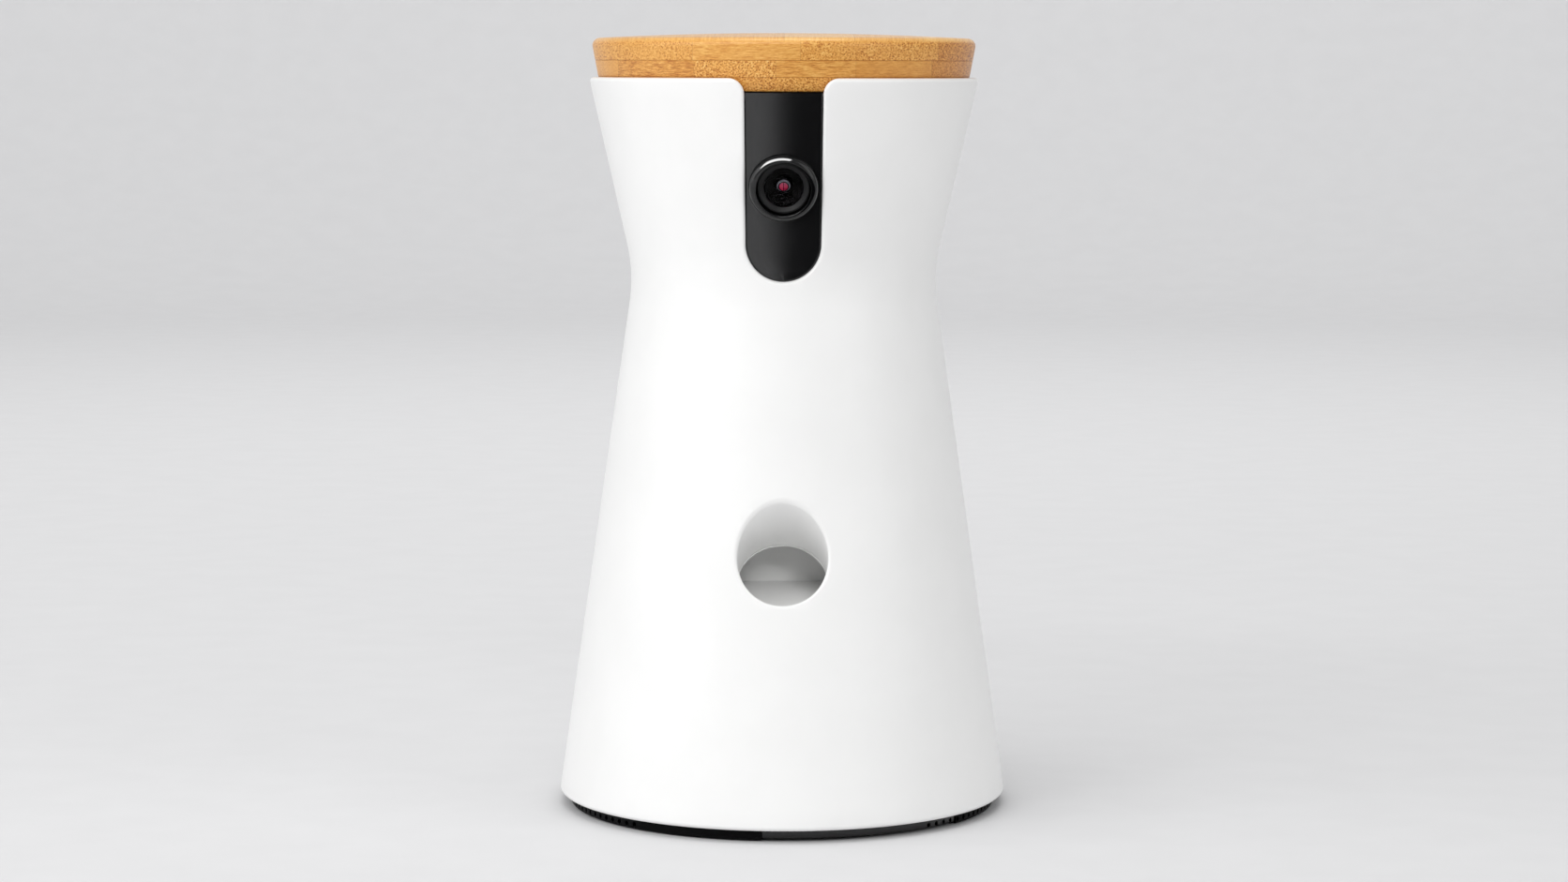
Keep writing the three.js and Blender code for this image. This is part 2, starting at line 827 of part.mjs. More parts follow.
function statusLightWindow() {
  const outer = trayHalfWidth - lightWindow.recess;
  const ring = spun(
    [
      [outer - lightWindow.thickness, lightWindow.bottomZ],
      [outer, lightWindow.bottomZ],
      [outer, lightWindow.topZ],
      [outer - lightWindow.thickness, lightWindow.topZ],
    ],
    facets.oval,
  );
  const gapDegrees = THREE.MathUtils.radToDeg(fit.gap / trayHalfWidth);
  const part = wedge(
    lightWindow.fromDegrees + gapDegrees,
    lightWindow.toDegrees - gapDegrees,
    lightWindow.bottomZ - fit.overrun,
    lightWindow.topZ + fit.overrun,
  );
  return stretched(cut(ring.intersect(part), ...skirtDrills(1, lightWindow.holes)));
}

function rubberFoot() {
  const top = tray.floorZ - fit.seat;
  return spun([[0, 0], [foot.radius - foot.edge, 0], [foot.radius, foot.edge], [foot.radius, top], [0, top]]);
}

function baseScrew() {
  const headTop = tray.floorZ - fit.seat;
  const headBottom = headTop - screw.headHeight;
  const bodyShape = spun(
    [
      [0, headBottom],
      [screw.headRadius, headBottom],
      [screw.headRadius, headTop],
      [screw.shankRadius, headTop],
      [screw.shankRadius, headTop + screw.length],
      [0, headTop + screw.length],
    ],
    facets.small,
  );
  const half = screw.slotLength / 2;
  const thin = screw.slotWidth / 2;
  const low = headBottom - fit.overrun;
  const high = headBottom + screw.slotDepth;
  const slots = [block(-half, -thin, low, half, thin, high), block(-thin, -half, low, thin, half, high)];
  return cut(bodyShape, ...slots);
}

function ballastPlate() {
  const low = floorTopZ + fit.seat;
  const frontY = speaker.y + speaker.radius + ballast.frontGap;
  return plateZ(
    rectangle(-ballast.halfWidth, frontY, ballast.halfWidth, boardBackY - ballast.backInset, ballast.corner),
    low,
    low + ballast.thickness,
  );
}

function lightBoard() {
  const half = lights.length / 2;
  const strip = block(-half, 0, 0, half, lights.thickness, lights.height);
  const lamps = Array.from({ length: lights.lamps }, (_, i) => {
    const x = (i - (lights.lamps - 1) / 2) * lights.lampPitch;
    const size = lights.lampSize;
    return block(x - size, -lights.lampHeight, size / 2, x + size, lights.thickness / 2, size + size / 2);
  });
  return joined(strip, ...lamps);
}

// The speaker, which fires down through the slots in the floor

function speakerParts() {
  const low = floorTopZ + fit.seat;
  const inner = speaker.radius - speaker.rimWidth;
  const frame = spun([
    [inner, low],
    [speaker.radius, low],
    [speaker.radius, low + speaker.rimHeight],
    [inner + speaker.sheet, low + speaker.rimHeight],
    [speaker.basketRadius, speaker.basketZ],
    [speaker.basketRadius, speaker.basketZ + speaker.neckHeight],
    [speaker.throatRadius, speaker.basketZ + speaker.neckHeight],
    [speaker.throatRadius, speaker.basketZ],
    [speaker.basketRadius - speaker.sheet, speaker.basketZ - speaker.sheet],
    [inner, low + speaker.sheet],
  ]);
  const edge = inner - fit.gap;
  const neck = speaker.throatRadius - fit.gap;
  const apex = speaker.basketZ - speaker.rimHeight - speaker.sheet;
  const cone = spun([
    [0, apex - speaker.domeRise],
    [neck / 2, apex - speaker.domeRise + speaker.coneThickness / 2],
    [neck, apex],
    [edge, low],
    [edge, low + speaker.coneThickness],
    [neck, apex + speaker.coneThickness * 2],
    [0, apex + speaker.coneThickness * 2],
  ]);
  const magnetZ = speaker.basketZ + speaker.neckHeight + fit.seat;
  const magnet = spun([
    [0, magnetZ],
    [speaker.magnetRadius, magnetZ],
    [speaker.magnetRadius, magnetZ + speaker.magnetHeight],
    [0, magnetZ + speaker.magnetHeight],
  ]);
  return { frame, cone, magnet };
}

// The power board with its socket, radio and reset switch

function powerBoard() {
  const holes = postPlaces().map(([x, y]) => circle(screw.shankRadius, facets.small, x, y));
  const outline = rectangle(-board.halfWidth, boardFrontY, board.halfWidth, boardBackY);
  const plate = plateZ(outline, board.bottomZ, boardTopZ, holes);
  const chipY = boardFrontY + board.chipSide * 2;
  const chip = block(
    -board.chipSide / 2,
    chipY,
    boardTopZ - fit.gap,
    board.chipSide / 2,
    chipY + board.chipSide,
    boardTopZ + board.chipHeight,
  );
  const capacitors = [0, 1].map((i) =>
    rodZ(
      board.capRadius,
      boardTopZ - fit.gap,
      boardTopZ + board.capHeight,
      -board.halfWidth + board.capRadius * 2,
      boardFrontY + board.postInset * 2 + i * board.capRadius * 3,
      facets.small,
    ),
  );
  return joined(plate, chip, ...capacitors);
}

const usbBackY = usbFrontY - usb.length;

function usbSocket() {
  const low = boardTopZ + fit.seat;
  const high = low + usb.height;
  const can = block(-usb.halfWidth, usbBackY, low, usb.halfWidth, usbFrontY, high);
  const side = usb.halfWidth - usb.wall;
  const deep = usbFrontY - usb.mouthDepth;
  const mouth = block(-side, deep, low + usb.wall, side, usbFrontY + fit.overrun, high - usb.wall);
  const middle = (low + high) / 2;
  const tongue = block(
    -usb.halfWidth / 2,
    usbBackY + usb.wall,
    middle - usb.wall / 2,
    usb.halfWidth / 2,
    usbFrontY - usb.wall * 2,
    middle + usb.wall / 2,
  );
  return joined(cut(can, mouth), tongue);
}

function wifiModule() {
  const low = boardTopZ + fit.seat;
  const back = boardBackY - wifi.fromBack;
  const [left, right] = [-wifi.halfWidth, wifi.halfWidth].map((side) => wifi.x + side);
  return block(left, back - wifi.length, low, right, back, low + wifi.height);
}

function resetSwitch() {
  const high = board.bottomZ - fit.seat;
  const low = high - button.switchHeight;
  const half = button.switchSide / 2;
  return block(button.x - half, buttonY - half, low, button.x + half, buttonY + half, high);
}

function resetButton() {
  const top = board.bottomZ - fit.seat - button.switchHeight - button.travel - fit.seat;
  const flangeLow = floorTopZ + fit.gap;
  return spun([
    [0, button.bottomZ],
    [button.stemRadius, button.bottomZ],
    [button.stemRadius, flangeLow],
    [button.flangeRadius, flangeLow],
    [button.flangeRadius, flangeLow + button.flangeHeight],
    [button.stemRadius, flangeLow + button.flangeHeight],
    [button.stemRadius, top],
    [0, top],
  ]);
}

// The tower that carries the bin on a deck over four legs

function towerFrame() {
  const deck = ovalSpun([
    [0, deckBottomZ],
    [deckHalfWidth, deckBottomZ],
    [deckHalfWidth, tower.deckTopZ],
    [0, tower.deckTopZ],
  ]);
  const legs = legPlaces().map(([x, y]) =>
    rodZ(tower.legRadius, floorTopZ + fit.seat, deckBottomZ + fit.gap, x, y, facets.small),
  );
  const pilotTop = tray.floorZ + screw.length + fit.gap;
  const pilots = legPlaces().map(([x, y]) =>
    rodZ(screw.shankRadius + fit.gap / 2, tray.floorZ, pilotTop, x, y, facets.small),
  );
  const through = [tower.deckTopZ + fit.overrun, deckBottomZ - fit.overrun].reverse();
  const drop = rodZ(dropRadius, ...through, 0, -pocketCircle);
  const bush = rodZ(feedShaft.bushRadius + fit.seat, ...through);
  const cableRadius = wiring.radius + wiring.holeClearance;
  const cableHole = rodZ(cableRadius, ...through, wireHoleX, wireHoleY, facets.small);
  return cut(joined(deck, ...legs), ...pilots, drop, bush, cableHole);
}

// The treat bin

// The bin is round at its well and oval from the waist up.
function hopperRatio(z) {
  const t = THREE.MathUtils.clamp((z - hopper.wellTopZ) / (binWaistZ - hopper.wellTopZ), 0, 1);
  return 1 + (depthRatio - 1) * t;
}

// Half the width of the room in the bin between its waist and its mouth.
function binInsideAt(z) {
  const t = (z - binWaistZ) / (bayTopZ - binWaistZ);
  return THREE.MathUtils.lerp(binWaistHalfWidth, binMouthHalfWidth, t) - hopper.wall;
}

// What the camera and its cable take out of the front of the bin, grown by the bin's wall where needed.
function cameraBay(grow, topZ) {
  const bay = block(
    -bayHalfWidth - grow,
    -body.halfDepth,
    bayBottomZ - grow,
    bayHalfWidth + grow,
    bayBackY + grow,
    topZ,
  );
  const channel = block(
    -hopper.channelHalfWidth - grow,
    -body.halfDepth,
    tower.deckTopZ,
    hopper.channelHalfWidth + grow,
    channelBackY + grow,
    bayBottomZ + fit.gap,
  );
  return joined(bay, channel);
}

function treatHopper() {
  const bottom = tower.deckTopZ + fit.seat;
  const well = wellRadius + hopper.wall;
  const outer = stretched(
    spun(
      [
        [0, bottom],
        [well, bottom],
        [well, hopper.wellTopZ],
        [binWaistHalfWidth, binWaistZ],
        [binMouthHalfWidth, bayTopZ],
        [binFlangeHalfWidth, bayTopZ],
        [binFlangeHalfWidth, hopperTopZ],
        [0, hopperTopZ],
      ],
      facets.oval,
    ),
    hopperRatio,
  );
  const mouth = binMouthHalfWidth - hopper.wall;
  const inner = stretched(
    spun(
      [
        [0, bottom - fit.overrun],
        [wellRadius, bottom - fit.overrun],
        [wellRadius, hopper.wellTopZ],
        [binWaistHalfWidth - hopper.wall, binWaistZ],
        [mouth, bayTopZ],
        [mouth, hopperTopZ + fit.overrun],
        [0, hopperTopZ + fit.overrun],
      ],
      facets.oval,
    ),
    hopperRatio,
  );
  const room = cut(inner, cameraBay(hopper.wall, hopperTopZ + fit.overrun * 2));
  return cut(outer, cameraBay(0, bayTopZ), room);
}

// The feed disc and what turns it

function feedRotor() {
  const disc = spun(
    [
      [0, rotorBottomZ],
      [rotorRadius, rotorBottomZ],
      [rotorRadius, rotorTopZ],
      [rotor.bossRadius, rotorTopZ],
      [rotor.bossRadius, rotorTopZ + rotor.bossHeight],
      [0, rotorTopZ + rotor.bossHeight],
    ],
    facets.oval,
  );
  const high = rotorTopZ + rotor.bossHeight + fit.overrun;
  const pockets = Array.from({ length: rotor.pockets }, (_, i) => {
    const a = (2 * Math.PI * (i + 0.5)) / rotor.pockets - Math.PI / 2;
    const at = [pocketCircle * Math.cos(a), pocketCircle * Math.sin(a)];
    return rodZ(rotor.pocketRadius, rotorBottomZ - fit.overrun, high, ...at);
  });
  return cut(disc, ...pockets, rodZ(feedShaft.radius + fit.running, rotorBottomZ - fit.overrun, high));
}

const agitatorZ = rotorTopZ + rotor.bossHeight + fit.seat;

function rotorAgitator() {
  const dome = spun([
    [0, agitatorZ],
    ...rounded([
      [rotor.agitatorRadius, agitatorZ],
      [rotor.agitatorRadius, agitatorZ + rotor.agitatorHeight / 3],
      [rotor.agitatorRadius / 2, agitatorZ + rotor.agitatorHeight],
    ]),
    [0, agitatorZ + rotor.agitatorHeight],
  ]);
  const fins = Array.from({ length: rotor.fins }, (_, i) => {
    const a = (2 * Math.PI * i) / rotor.fins + Math.PI / 2;
    const fin = new THREE.BoxGeometry(rotor.finLength, rotor.finThickness, rotor.finHeight);
    fin.translate(rotor.finLength / 2, 0, agitatorZ + rotor.finHeight / 2).rotateZ(a);
    return solid(fin);
  });
  const tip = feedShaft.radius + fit.running;
  return cut(joined(dome, ...fins), rodZ(tip, agitatorZ - fit.overrun, agitatorZ + rotor.bossHeight));
}

function rotorBush() {
  const low = deckBottomZ - feedShaft.bushFlangeHeight;
  return spun([
    [feedShaft.radius + fit.running, low],
    [feedShaft.bushFlangeRadius, low],
    [feedShaft.bushFlangeRadius, deckBottomZ - fit.seat],
    [feedShaft.bushRadius, deckBottomZ - fit.seat],
    [feedShaft.bushRadius, tower.deckTopZ],
    [feedShaft.radius + fit.running, tower.deckTopZ],
  ]);
}

function gear(module, teeth, firstAngle, width, boreRadius, kept) {
  return plateZ(gearOutline(module, teeth, firstAngle, kept), 0, width, [circle(boreRadius, facets.round)]);
}

const feedDistance = (feedGears.module * (feedGears.gearTeeth + feedGears.pinionTeeth)) / 2;
const motorPlateZ = feedGears.bottomZ - fit.gap - fit.gap - feedMotor.plateThickness;

function feedPinion() {
  const toGear = -Math.PI / 2 + Math.PI / feedGears.pinionTeeth;
  const outline = gearOutline(feedGears.module, feedGears.pinionTeeth, toGear);
  const wheel = plateZ(outline, feedGears.bottomZ, feedGears.bottomZ + feedGears.width);
  const stub = rodZ(feedGears.shaftRadius, motorPlateZ, feedGears.bottomZ + feedGears.width / 2);
  return joined(wheel, stub);
}

function motorBracket() {
  const half = feedMotor.pillarX + feedMotor.pillarRadius;
  const side = feedMotor.radius - feedMotor.plateMargin;
  const plate = plateZ(
    rectangle(-half, -side, half, side, feedMotor.pillarRadius),
    motorPlateZ,
    motorPlateZ + feedMotor.plateThickness,
    [circle(feedGears.shaftRadius + fit.gap, facets.round)],
  );
  const pillarTop = deckBottomZ - fit.seat;
  const pillars = [-feedMotor.pillarX, feedMotor.pillarX].map((x) =>
    rodZ(feedMotor.pillarRadius, motorPlateZ, pillarTop, x, 0, facets.small),
  );
  return joined(plate, ...pillars);
}

// A motor can along +Z with its nose at the top.
function motorCan(radius, length, topZ, noseRadius) {
  const edge = radius / 10;
  return spun([
    [0, topZ - length],
    [noseRadius, topZ - length],
    [noseRadius, topZ - length + edge],
    [radius - edge, topZ - length + edge],
    [radius, topZ - length + edge * 2],
    [radius, topZ],
    [0, topZ],
  ]);
}

// The toss chamber behind the throat

function tossHousing() {
  const outerTop = behindThroat(fit.gap, throat.boreRadius + throat.wall + toss.wall);
  const outerLow = behindThroat(fit.gap, -throat.boreRadius - throat.wall - toss.wall);
  const topZ = deckBottomZ - fit.gap;
  const backY = chuteBackY + toss.wall;
  const slope = Math.tan(radians(toss.restDegrees));
  const sag = toss.hubRadius + toss.floorClearance;
  const floorBackZ = pivot[1] - sag + slope * (chuteBackY - pivot[0]) + toss.floorDrop / 3;
  const outside = [
    outerTop,
    outerLow,
    [pivot[0], pivot[1] - sag - toss.floorDrop],
    [backY, floorBackZ - toss.floorDrop],
    [backY, topZ],
    [outerTop[0], topZ],
  ];
  const frontY = outerTop[0] + toss.wall;
  const wallDepth = fit.gap + toss.wall;
  const ceiling = (frontY - behindThroat(wallDepth, 0)[0]) / across[0];
  const inside = [
    behindThroat(wallDepth, ceiling),
    behindThroat(wallDepth, -throat.boreRadius - fit.gap - fit.gap),
    [pivot[0], pivot[1] - sag],
    [chuteBackY, floorBackZ],
    [chuteBackY, topZ + fit.overrun],
    [frontY, topZ + fit.overrun],
  ];
  const shellShape = cut(
    plateX(outside, -tossSideX, tossSideX),
    plateX(inside, -tossHalfWidth, tossHalfWidth),
    rod(
      throat.boreRadius,
      [0, ...behindThroat(-fit.overrun, 0)],
      [0, ...behindThroat(wallDepth + fit.seat, 0)],
    ),
  );
  const plate = plateX(
    rectangle(
      releaseCentre[0] - toss.plateFrontMargin,
      toss.plateBottomZ,
      motorCentre[0] + toss.plateBackMargin,
      pivot[1],
      toss.wall,
    ),
    tossHalfWidth,
    tossSideX,
  );
  const boss = rodX(toss.bossRadius, tossHalfWidth - toss.bossLength, tossSideX, ...releaseCentre);
  const earBack = chuteBackY - fit.overrun;
  const ear = block(
    -tossSideX - toss.earWidth,
    earBack - toss.earLength,
    topZ - toss.earThickness,
    tossSideX + toss.earWidth,
    earBack,
    topZ,
  );
  const pegOut = -spring.pegRadius - spring.wireRadius - fit.seat;
  const pegAt = besideLeg(springStartAngle, -spring.legLength * springHoldShare, pegOut);
  const pegEnd = springX - spring.wireRadius;
  const [pegY, pegZ] = pegAt.map((offset, i) => pivot[i] + offset);
  const peg = rodX(spring.pegRadius, pegEnd, -tossHalfWidth, pegY, pegZ, facets.small);
  const whole = joined(shellShape, cut(plate, plateX(inside, 0, tossSideX + fit.overrun)), boss, peg);
  const between = plateX(inside, -tossHalfWidth, tossHalfWidth);
  const ears = cut(ear, between);
  const wide = tossSideX + fit.overrun;
  return cut(
    joined(whole, ears),
    rodX(toss.shaftRadius + fit.running, -wide, wide, ...pivot),
    rodX(tossGears.shaftRadius + fit.running, 0, wide, ...releaseCentre),
    rodX(tossMotor.noseHole, 0, wide, ...motorCentre),
  );
}

// The paddle lies along +Y from its hub, and its group turns it to rest.
function tossPaddle() {
  const half = toss.paddleThickness / 2;
  const plate = block(-paddleHalfWidth, 0, -half, paddleHalfWidth, paddleLength, half);
  const hub = rodX(toss.hubRadius, -paddleHalfWidth, paddleHalfWidth);
  const wide = paddleHalfWidth + fit.overrun;
  return cut(joined(plate, hub), rodX(toss.shaftRadius + fit.running, -wide, wide));
}

function paddleQuadrant() {
  const step = (2 * Math.PI) / tossGears.quadrantTeeth;
  const first = meshAngle - step * (tossGears.quadrantTeethKept - 2);
  const kept = tossGears.quadrantTeethKept;
  const outline = gearOutline(tossGears.quadrantModule, tossGears.quadrantTeeth, first, kept);
  const wheel = plateX(outline, quadrantX, quadrantX + tossGears.width);
  const reach = quadrantRadius * 2;
  const from = first - step;
  const to = meshAngle + step * 2;
  const fan = [[0, 0], ...[from, (from + to) / 2, to].map((angle) => polar([0, 0], reach, angle))];
  const wide = quadrantX + tossGears.width + fit.overrun;
  const sector = wheel.intersect(plateX(fan, quadrantX - fit.overrun, wide));
  const hub = rodX(tossGears.quadrantHubRadius, quadrantX, quadrantX + tossGears.width);
  return cut(joined(sector, hub), rodX(toss.shaftRadius + fit.running, 0, wide));
}

const springX = -tossSideX - fit.gap - spring.wireRadius;
const springEndX = springX - spring.turns * spring.pitch;
const armX = springEndX - spring.wireRadius - fit.gap - fit.gap;
const springEndAngle = meshAngle;
const springStartAngle = springEndAngle - 2 * Math.PI * spring.turns;
const springHoldShare = 0.75;

// A point beside a spring leg that leaves the coil at an angle: a way along the leg and a way out from it.
function besideLeg(angle, along, out) {
  return polar(polar([0, 0], spring.coilRadius + out, angle), along, angle + Math.PI / 2);
}

// A torsion spring round the paddle's shaft, with two straight legs that leave the coil on its tangents.
function tossSpring() {
  const stepsPerTurn = facets.wireStepsPerTurn;
  const count = Math.round(spring.turns * stepsPerTurn);
  const coil = Array.from({ length: count + 1 }, (_, i) => {
    const a = springEndAngle + (2 * Math.PI * (i - count)) / stepsPerTurn;
    const [y, z] = polar([0, 0], spring.coilRadius, a);
    return [springX - (spring.pitch * i) / stepsPerTurn, y, z];
  });
  const startLegX = springX;
  const endLegX = coil.at(-1)[0];
  const points = [
    [startLegX, ...besideLeg(springStartAngle, -spring.legLength, 0)],
    [startLegX, ...besideLeg(springStartAngle, -spring.legLength / 2, 0)],
    ...coil,
    [endLegX, ...besideLeg(springEndAngle, spring.legLength / 2, 0)],
    [endLegX, ...besideLeg(springEndAngle, spring.legLength, 0)],
  ];
  const gaps = coil.flatMap((p, i) =>
    coil.slice(i + stepsPerTurn / 2).map((q) => new THREE.Vector3(...p).distanceTo(new THREE.Vector3(...q))),
  );
  const least = Math.min(...gaps) - spring.wireRadius * 2;
  console.log("spring: least gap between turns", least.toFixed(2), "mm");
  return tube(points, spring.wireRadius, facets.wire, points.length + stepsPerTurn);
}

// A lever on the paddle's shaft; its pin sits on the inner side of the spring's free leg.
function springArm() {
  const from = armX - spring.armThickness;
  const collar = rodX(toss.hubRadius + fit.gap, from, armX);
  const half = spring.armWidth / 2;
  const corners = [[0, -half], [spring.armLength, -half], [spring.armLength, half], [0, half]];
  const lever = plateX(corners.map(([along, out]) => besideLeg(springEndAngle, along, out)), from, armX);
  const pinOut = -spring.pinRadius - spring.wireRadius - fit.seat;
  const pinAt = besideLeg(springEndAngle, spring.legLength * springHoldShare, pinOut);
  const pin = rodX(spring.pinRadius, from, springEndX + spring.wireRadius, ...pinAt, facets.small);
  const bore = rodX(toss.shaftRadius + fit.running, from - fit.overrun, armX + fit.overrun);
  return cut(joined(collar, lever, pin), bore);
}

function releaseGear() {
  const step = (2 * Math.PI) / tossGears.releaseTeeth;
  const first = meshAngle + Math.PI - step / 2;
  const kept = tossGears.releaseTeethKept;
  const outline = gearOutline(tossGears.quadrantModule, tossGears.releaseTeeth, first, kept);
  const bore = [circle(tossGears.shaftRadius + fit.running, facets.round)];
  return plateX(outline, quadrantX, quadrantX + tossGears.width, bore);
}

function reductionGear() {
  const outline = gearOutline(tossGears.driveModule, tossGears.reductionTeeth, 0);
  const bore = [circle(tossGears.shaftRadius + fit.running, facets.round)];
  return plateX(outline, reductionX, reductionX + tossGears.reductionWidth, bore);
}

function tossPinion() {
  const first = Math.PI + Math.PI / tossGears.pinionTeeth;
  const outline = gearOutline(tossGears.driveModule, tossGears.pinionTeeth, first);
  const wheel = plateX(outline, reductionX, reductionX + tossGears.reductionWidth);
  const stub = rodX(tossMotor.shaftRadius, tossHalfWidth, reductionX + tossGears.reductionWidth / 2);
  return joined(wheel, stub);
}

// The camera, drawn about the lens axis with +Z out of the lens and +Y up the panel

const lensFaceY = -(halfWidthAt(cameraZ) - panel.recess) * depthRatio;
const taperRise = ((body.rimHalfWidth - body.waistHalfWidth) * depthRatio) / (body.rimZ - body.waistZ);
const lensTilt = Math.atan(taperRise);
const barrelBack = camera.barrelFrontHeight - camera.barrelLength;
const sensorFront = barrelBack - fit.gap;
const boardFront = sensorFront - camera.sensorThickness;
const boardBack = boardFront - camera.boardThickness;

// A point in Y and Z, a way up from the lens axis and a way out along it.
function besideLens(up, out) {
  return [
    lensFaceY - out * Math.cos(lensTilt) - up * Math.sin(lensTilt),
    cameraZ - out * Math.sin(lensTilt) + up * Math.cos(lensTilt),
  ];
}

const bayBackY = besideLens(-camera.boardBelow, boardBack)[0] + hopper.bayBackGap;

function lensBezel() {
  return spun(
    rounded([
      [camera.bezelInnerRadius, -camera.bezelDepth],
      [camera.bezelRadius, -camera.bezelDepth],
      [camera.bezelRadius, camera.bezelHeight - camera.bezelEdge],
      [camera.bezelCrestRadius, camera.bezelHeight],
      [camera.bezelCrestRadius - camera.bezelEdge, camera.bezelHeight],
      [camera.bezelInnerRadius, camera.bezelInnerHeight],
    ]),
  );
}

function lensBarrel() {
  const seat = -camera.glassEdgeDepth;
  return spun([
    [camera.rearBoreRadius, barrelBack],
    [camera.barrelRadius, barrelBack],
    [camera.barrelRadius, camera.barrelFrontHeight],
    [camera.barrelRadius - camera.barrelLip, camera.barrelFrontHeight],
    [camera.glassRadius + fit.seat, 0],
    [camera.glassRadius + fit.seat, seat],
    [camera.glassRadius - camera.barrelLip, seat],
    [camera.throatRadius, -camera.throatDepth],
    [camera.throatRadius, -camera.throatDepth - camera.innerGlassThickness - fit.gap],
    [camera.rearBoreRadius, -camera.throatDepth - camera.innerGlassThickness - camera.barrelLip * 2],
  ]);
}

function frontElement() {
  const seat = -camera.glassEdgeDepth + fit.seat;
  const domeShares = [1, 0.75, 0.4, 0];
  const dome = domeShares.map((s) => [camera.glassRadius * s, camera.glassRise * (1 - s * s)]);
  return spun([[0, seat], [camera.glassRadius, seat], ...dome]);
}

function innerElement() {
  const top = -camera.throatDepth;
  const r = camera.throatRadius - fit.seat;
  return spun([
    [0, top - camera.innerGlassThickness],
    [r, top - camera.innerGlassThickness],
    [r, top - fit.gap],
    [r / 2, top - fit.seat],
    [0, top],
  ]);
}

function lensHolder() {
  const half = camera.holderSide / 2;
  const box = block(-half, -half, barrelBack, half, half, barrelBack + camera.holderLength);
  return cut(box, rodZ(camera.barrelRadius + fit.seat, barrelBack - fit.overrun, 0));
}

function imageSensor() {
  const half = camera.sensorSide / 2;
  return block(-half, -half, boardFront + fit.seat, half, half, sensorFront);
}

function cameraBoard() {
  const wide = camera.boardHalfWidth;
  const plate = block(-wide, -camera.boardBelow, boardBack, wide, camera.boardAbove, boardFront);
  const chipTop = -camera.holderSide / 2 - fit.gap;
  const chip = block(
    -camera.sensorSide / 2,
    chipTop - camera.sensorSide,
    boardFront - fit.gap,
    camera.sensorSide / 2,
    chipTop,
    boardFront + camera.sensorThickness,
  );
  return joined(plate, chip);
}

// Two infrared lamps on a small board behind the dark panel, on spacers from the camera's board.
function infraredBoard() {
  const top = -(panel.thickness + panel.flangeThickness) * depthRatio - camera.infraredDrop;
  const low = top - camera.boardThickness;
  const plate = block(
    -camera.infraredHalfWidth,
    camera.infraredLow,
    low,
    camera.infraredHalfWidth,
    camera.infraredHigh,
    top,
  );
  const y = (camera.infraredLow + camera.infraredHigh) / 2;
  const lampTop = top + camera.lampHeight;
  const lamps = [-camera.lampX, camera.lampX].map((x) =>
    rodZ(camera.lampRadius, low, lampTop, x, y, facets.small),
  );
  const edge = camera.infraredHalfWidth - camera.spacerRadius;
  const spacers = [-edge, edge].map((x) =>
    rodZ(camera.spacerRadius, boardFront + fit.seat, top, x, y, facets.small),
  );
  return joined(plate, ...lamps, ...spacers);
}

function cameraPanel() {
  const bottom = notch.bottomZ - panel.flangeOverlap - fit.overrun;
  const plugBand = ovalSpun(bodyBand(panel.recess, panel.recess + panel.thickness, bottom, hopperTopZ));
  const flangeTop = bayTopZ - panel.flangeTopDrop;
  const behind = body.wall + fit.gap;
  const flangeBand = ovalSpun(bodyBand(behind, behind + panel.flangeThickness, bottom, flangeTop));
  const front = plateFront(notchOutline(fit.gap, hopperTopZ + fit.overrun, 0), -body.halfDepth, 0);
  const wide = plateFront(notchOutline(-panel.flangeOverlap, flangeTop + fit.overrun, 0), -body.halfDepth, 0);
  const [behindLens, beforeLens] = [-1, 1].map((side) => [0, ...besideLens(0, side * camera.bezelRadius)]);
  const hole = rod(camera.bezelRadius + fit.seat, behindLens, beforeLens);
  return cut(joined(plugBand.intersect(front), flangeBand.intersect(wide)), hole);
}

// The lid with the plug and seal that close the bin

function bambooLid() {
  const profile = rounded([
    [0, lidBottomZ],
    [lidBottomHalfWidth, lidBottomZ],
    [body.rimHalfWidth - lid.shoulderInset, lidTopZ - lid.crownRise, lid.edgeRadius],
    [body.rimHalfWidth / 2, lidTopZ - lid.crownRise / 4],
    [0, lidTopZ],
  ]);
  return ovalSpun(profile);
}

// The bin's mouth is cut flat by the camera's bay, so what fits into it is too.
function behindBay(shape, gap) {
  const y = bayBackY + hopper.wall + gap;
  const wide = body.halfWidth;
  return cut(shape, block(-wide, -body.halfDepth, 0, wide, y, lidTopZ));
}

function ovalDisc(halfWidth, z0, z1) {
  return ovalSpun([[0, z0], [halfWidth, z0], [halfWidth, z1], [0, z1]]);
}

const plugTopZ = lidBottomZ - fit.seat;
const plugBottomZ = plugTopZ - plug.depth;
const plugHalfWidth = Math.min(binInsideAt(plugBottomZ), binInsideAt(plugTopZ)) - plug.sideGap;
const sealLowZ = plugBottomZ + plug.sealRise;

function lidPlug() {
  const outer = behindBay(ovalDisc(plugHalfWidth, plugBottomZ, plugTopZ), plug.frontGap);
  const pocketTop = plugTopZ - plug.capThickness;
  const deep = plug.wall + plug.grooveDepth;
  const pocketDisc = ovalDisc(plugHalfWidth - deep, plugBottomZ - fit.overrun, pocketTop);
  const pocket = behindBay(pocketDisc, plug.frontGap + deep);
  const high = sealLowZ + plug.sealHeight;
  const band = ovalDisc(plugHalfWidth + fit.overrun, sealLowZ, high);
  const groove = plug.grooveDepth;
  const core = behindBay(ovalDisc(plugHalfWidth - groove, sealLowZ, high), plug.frontGap + groove);
  return cut(outer, pocket, cut(band, core));
}

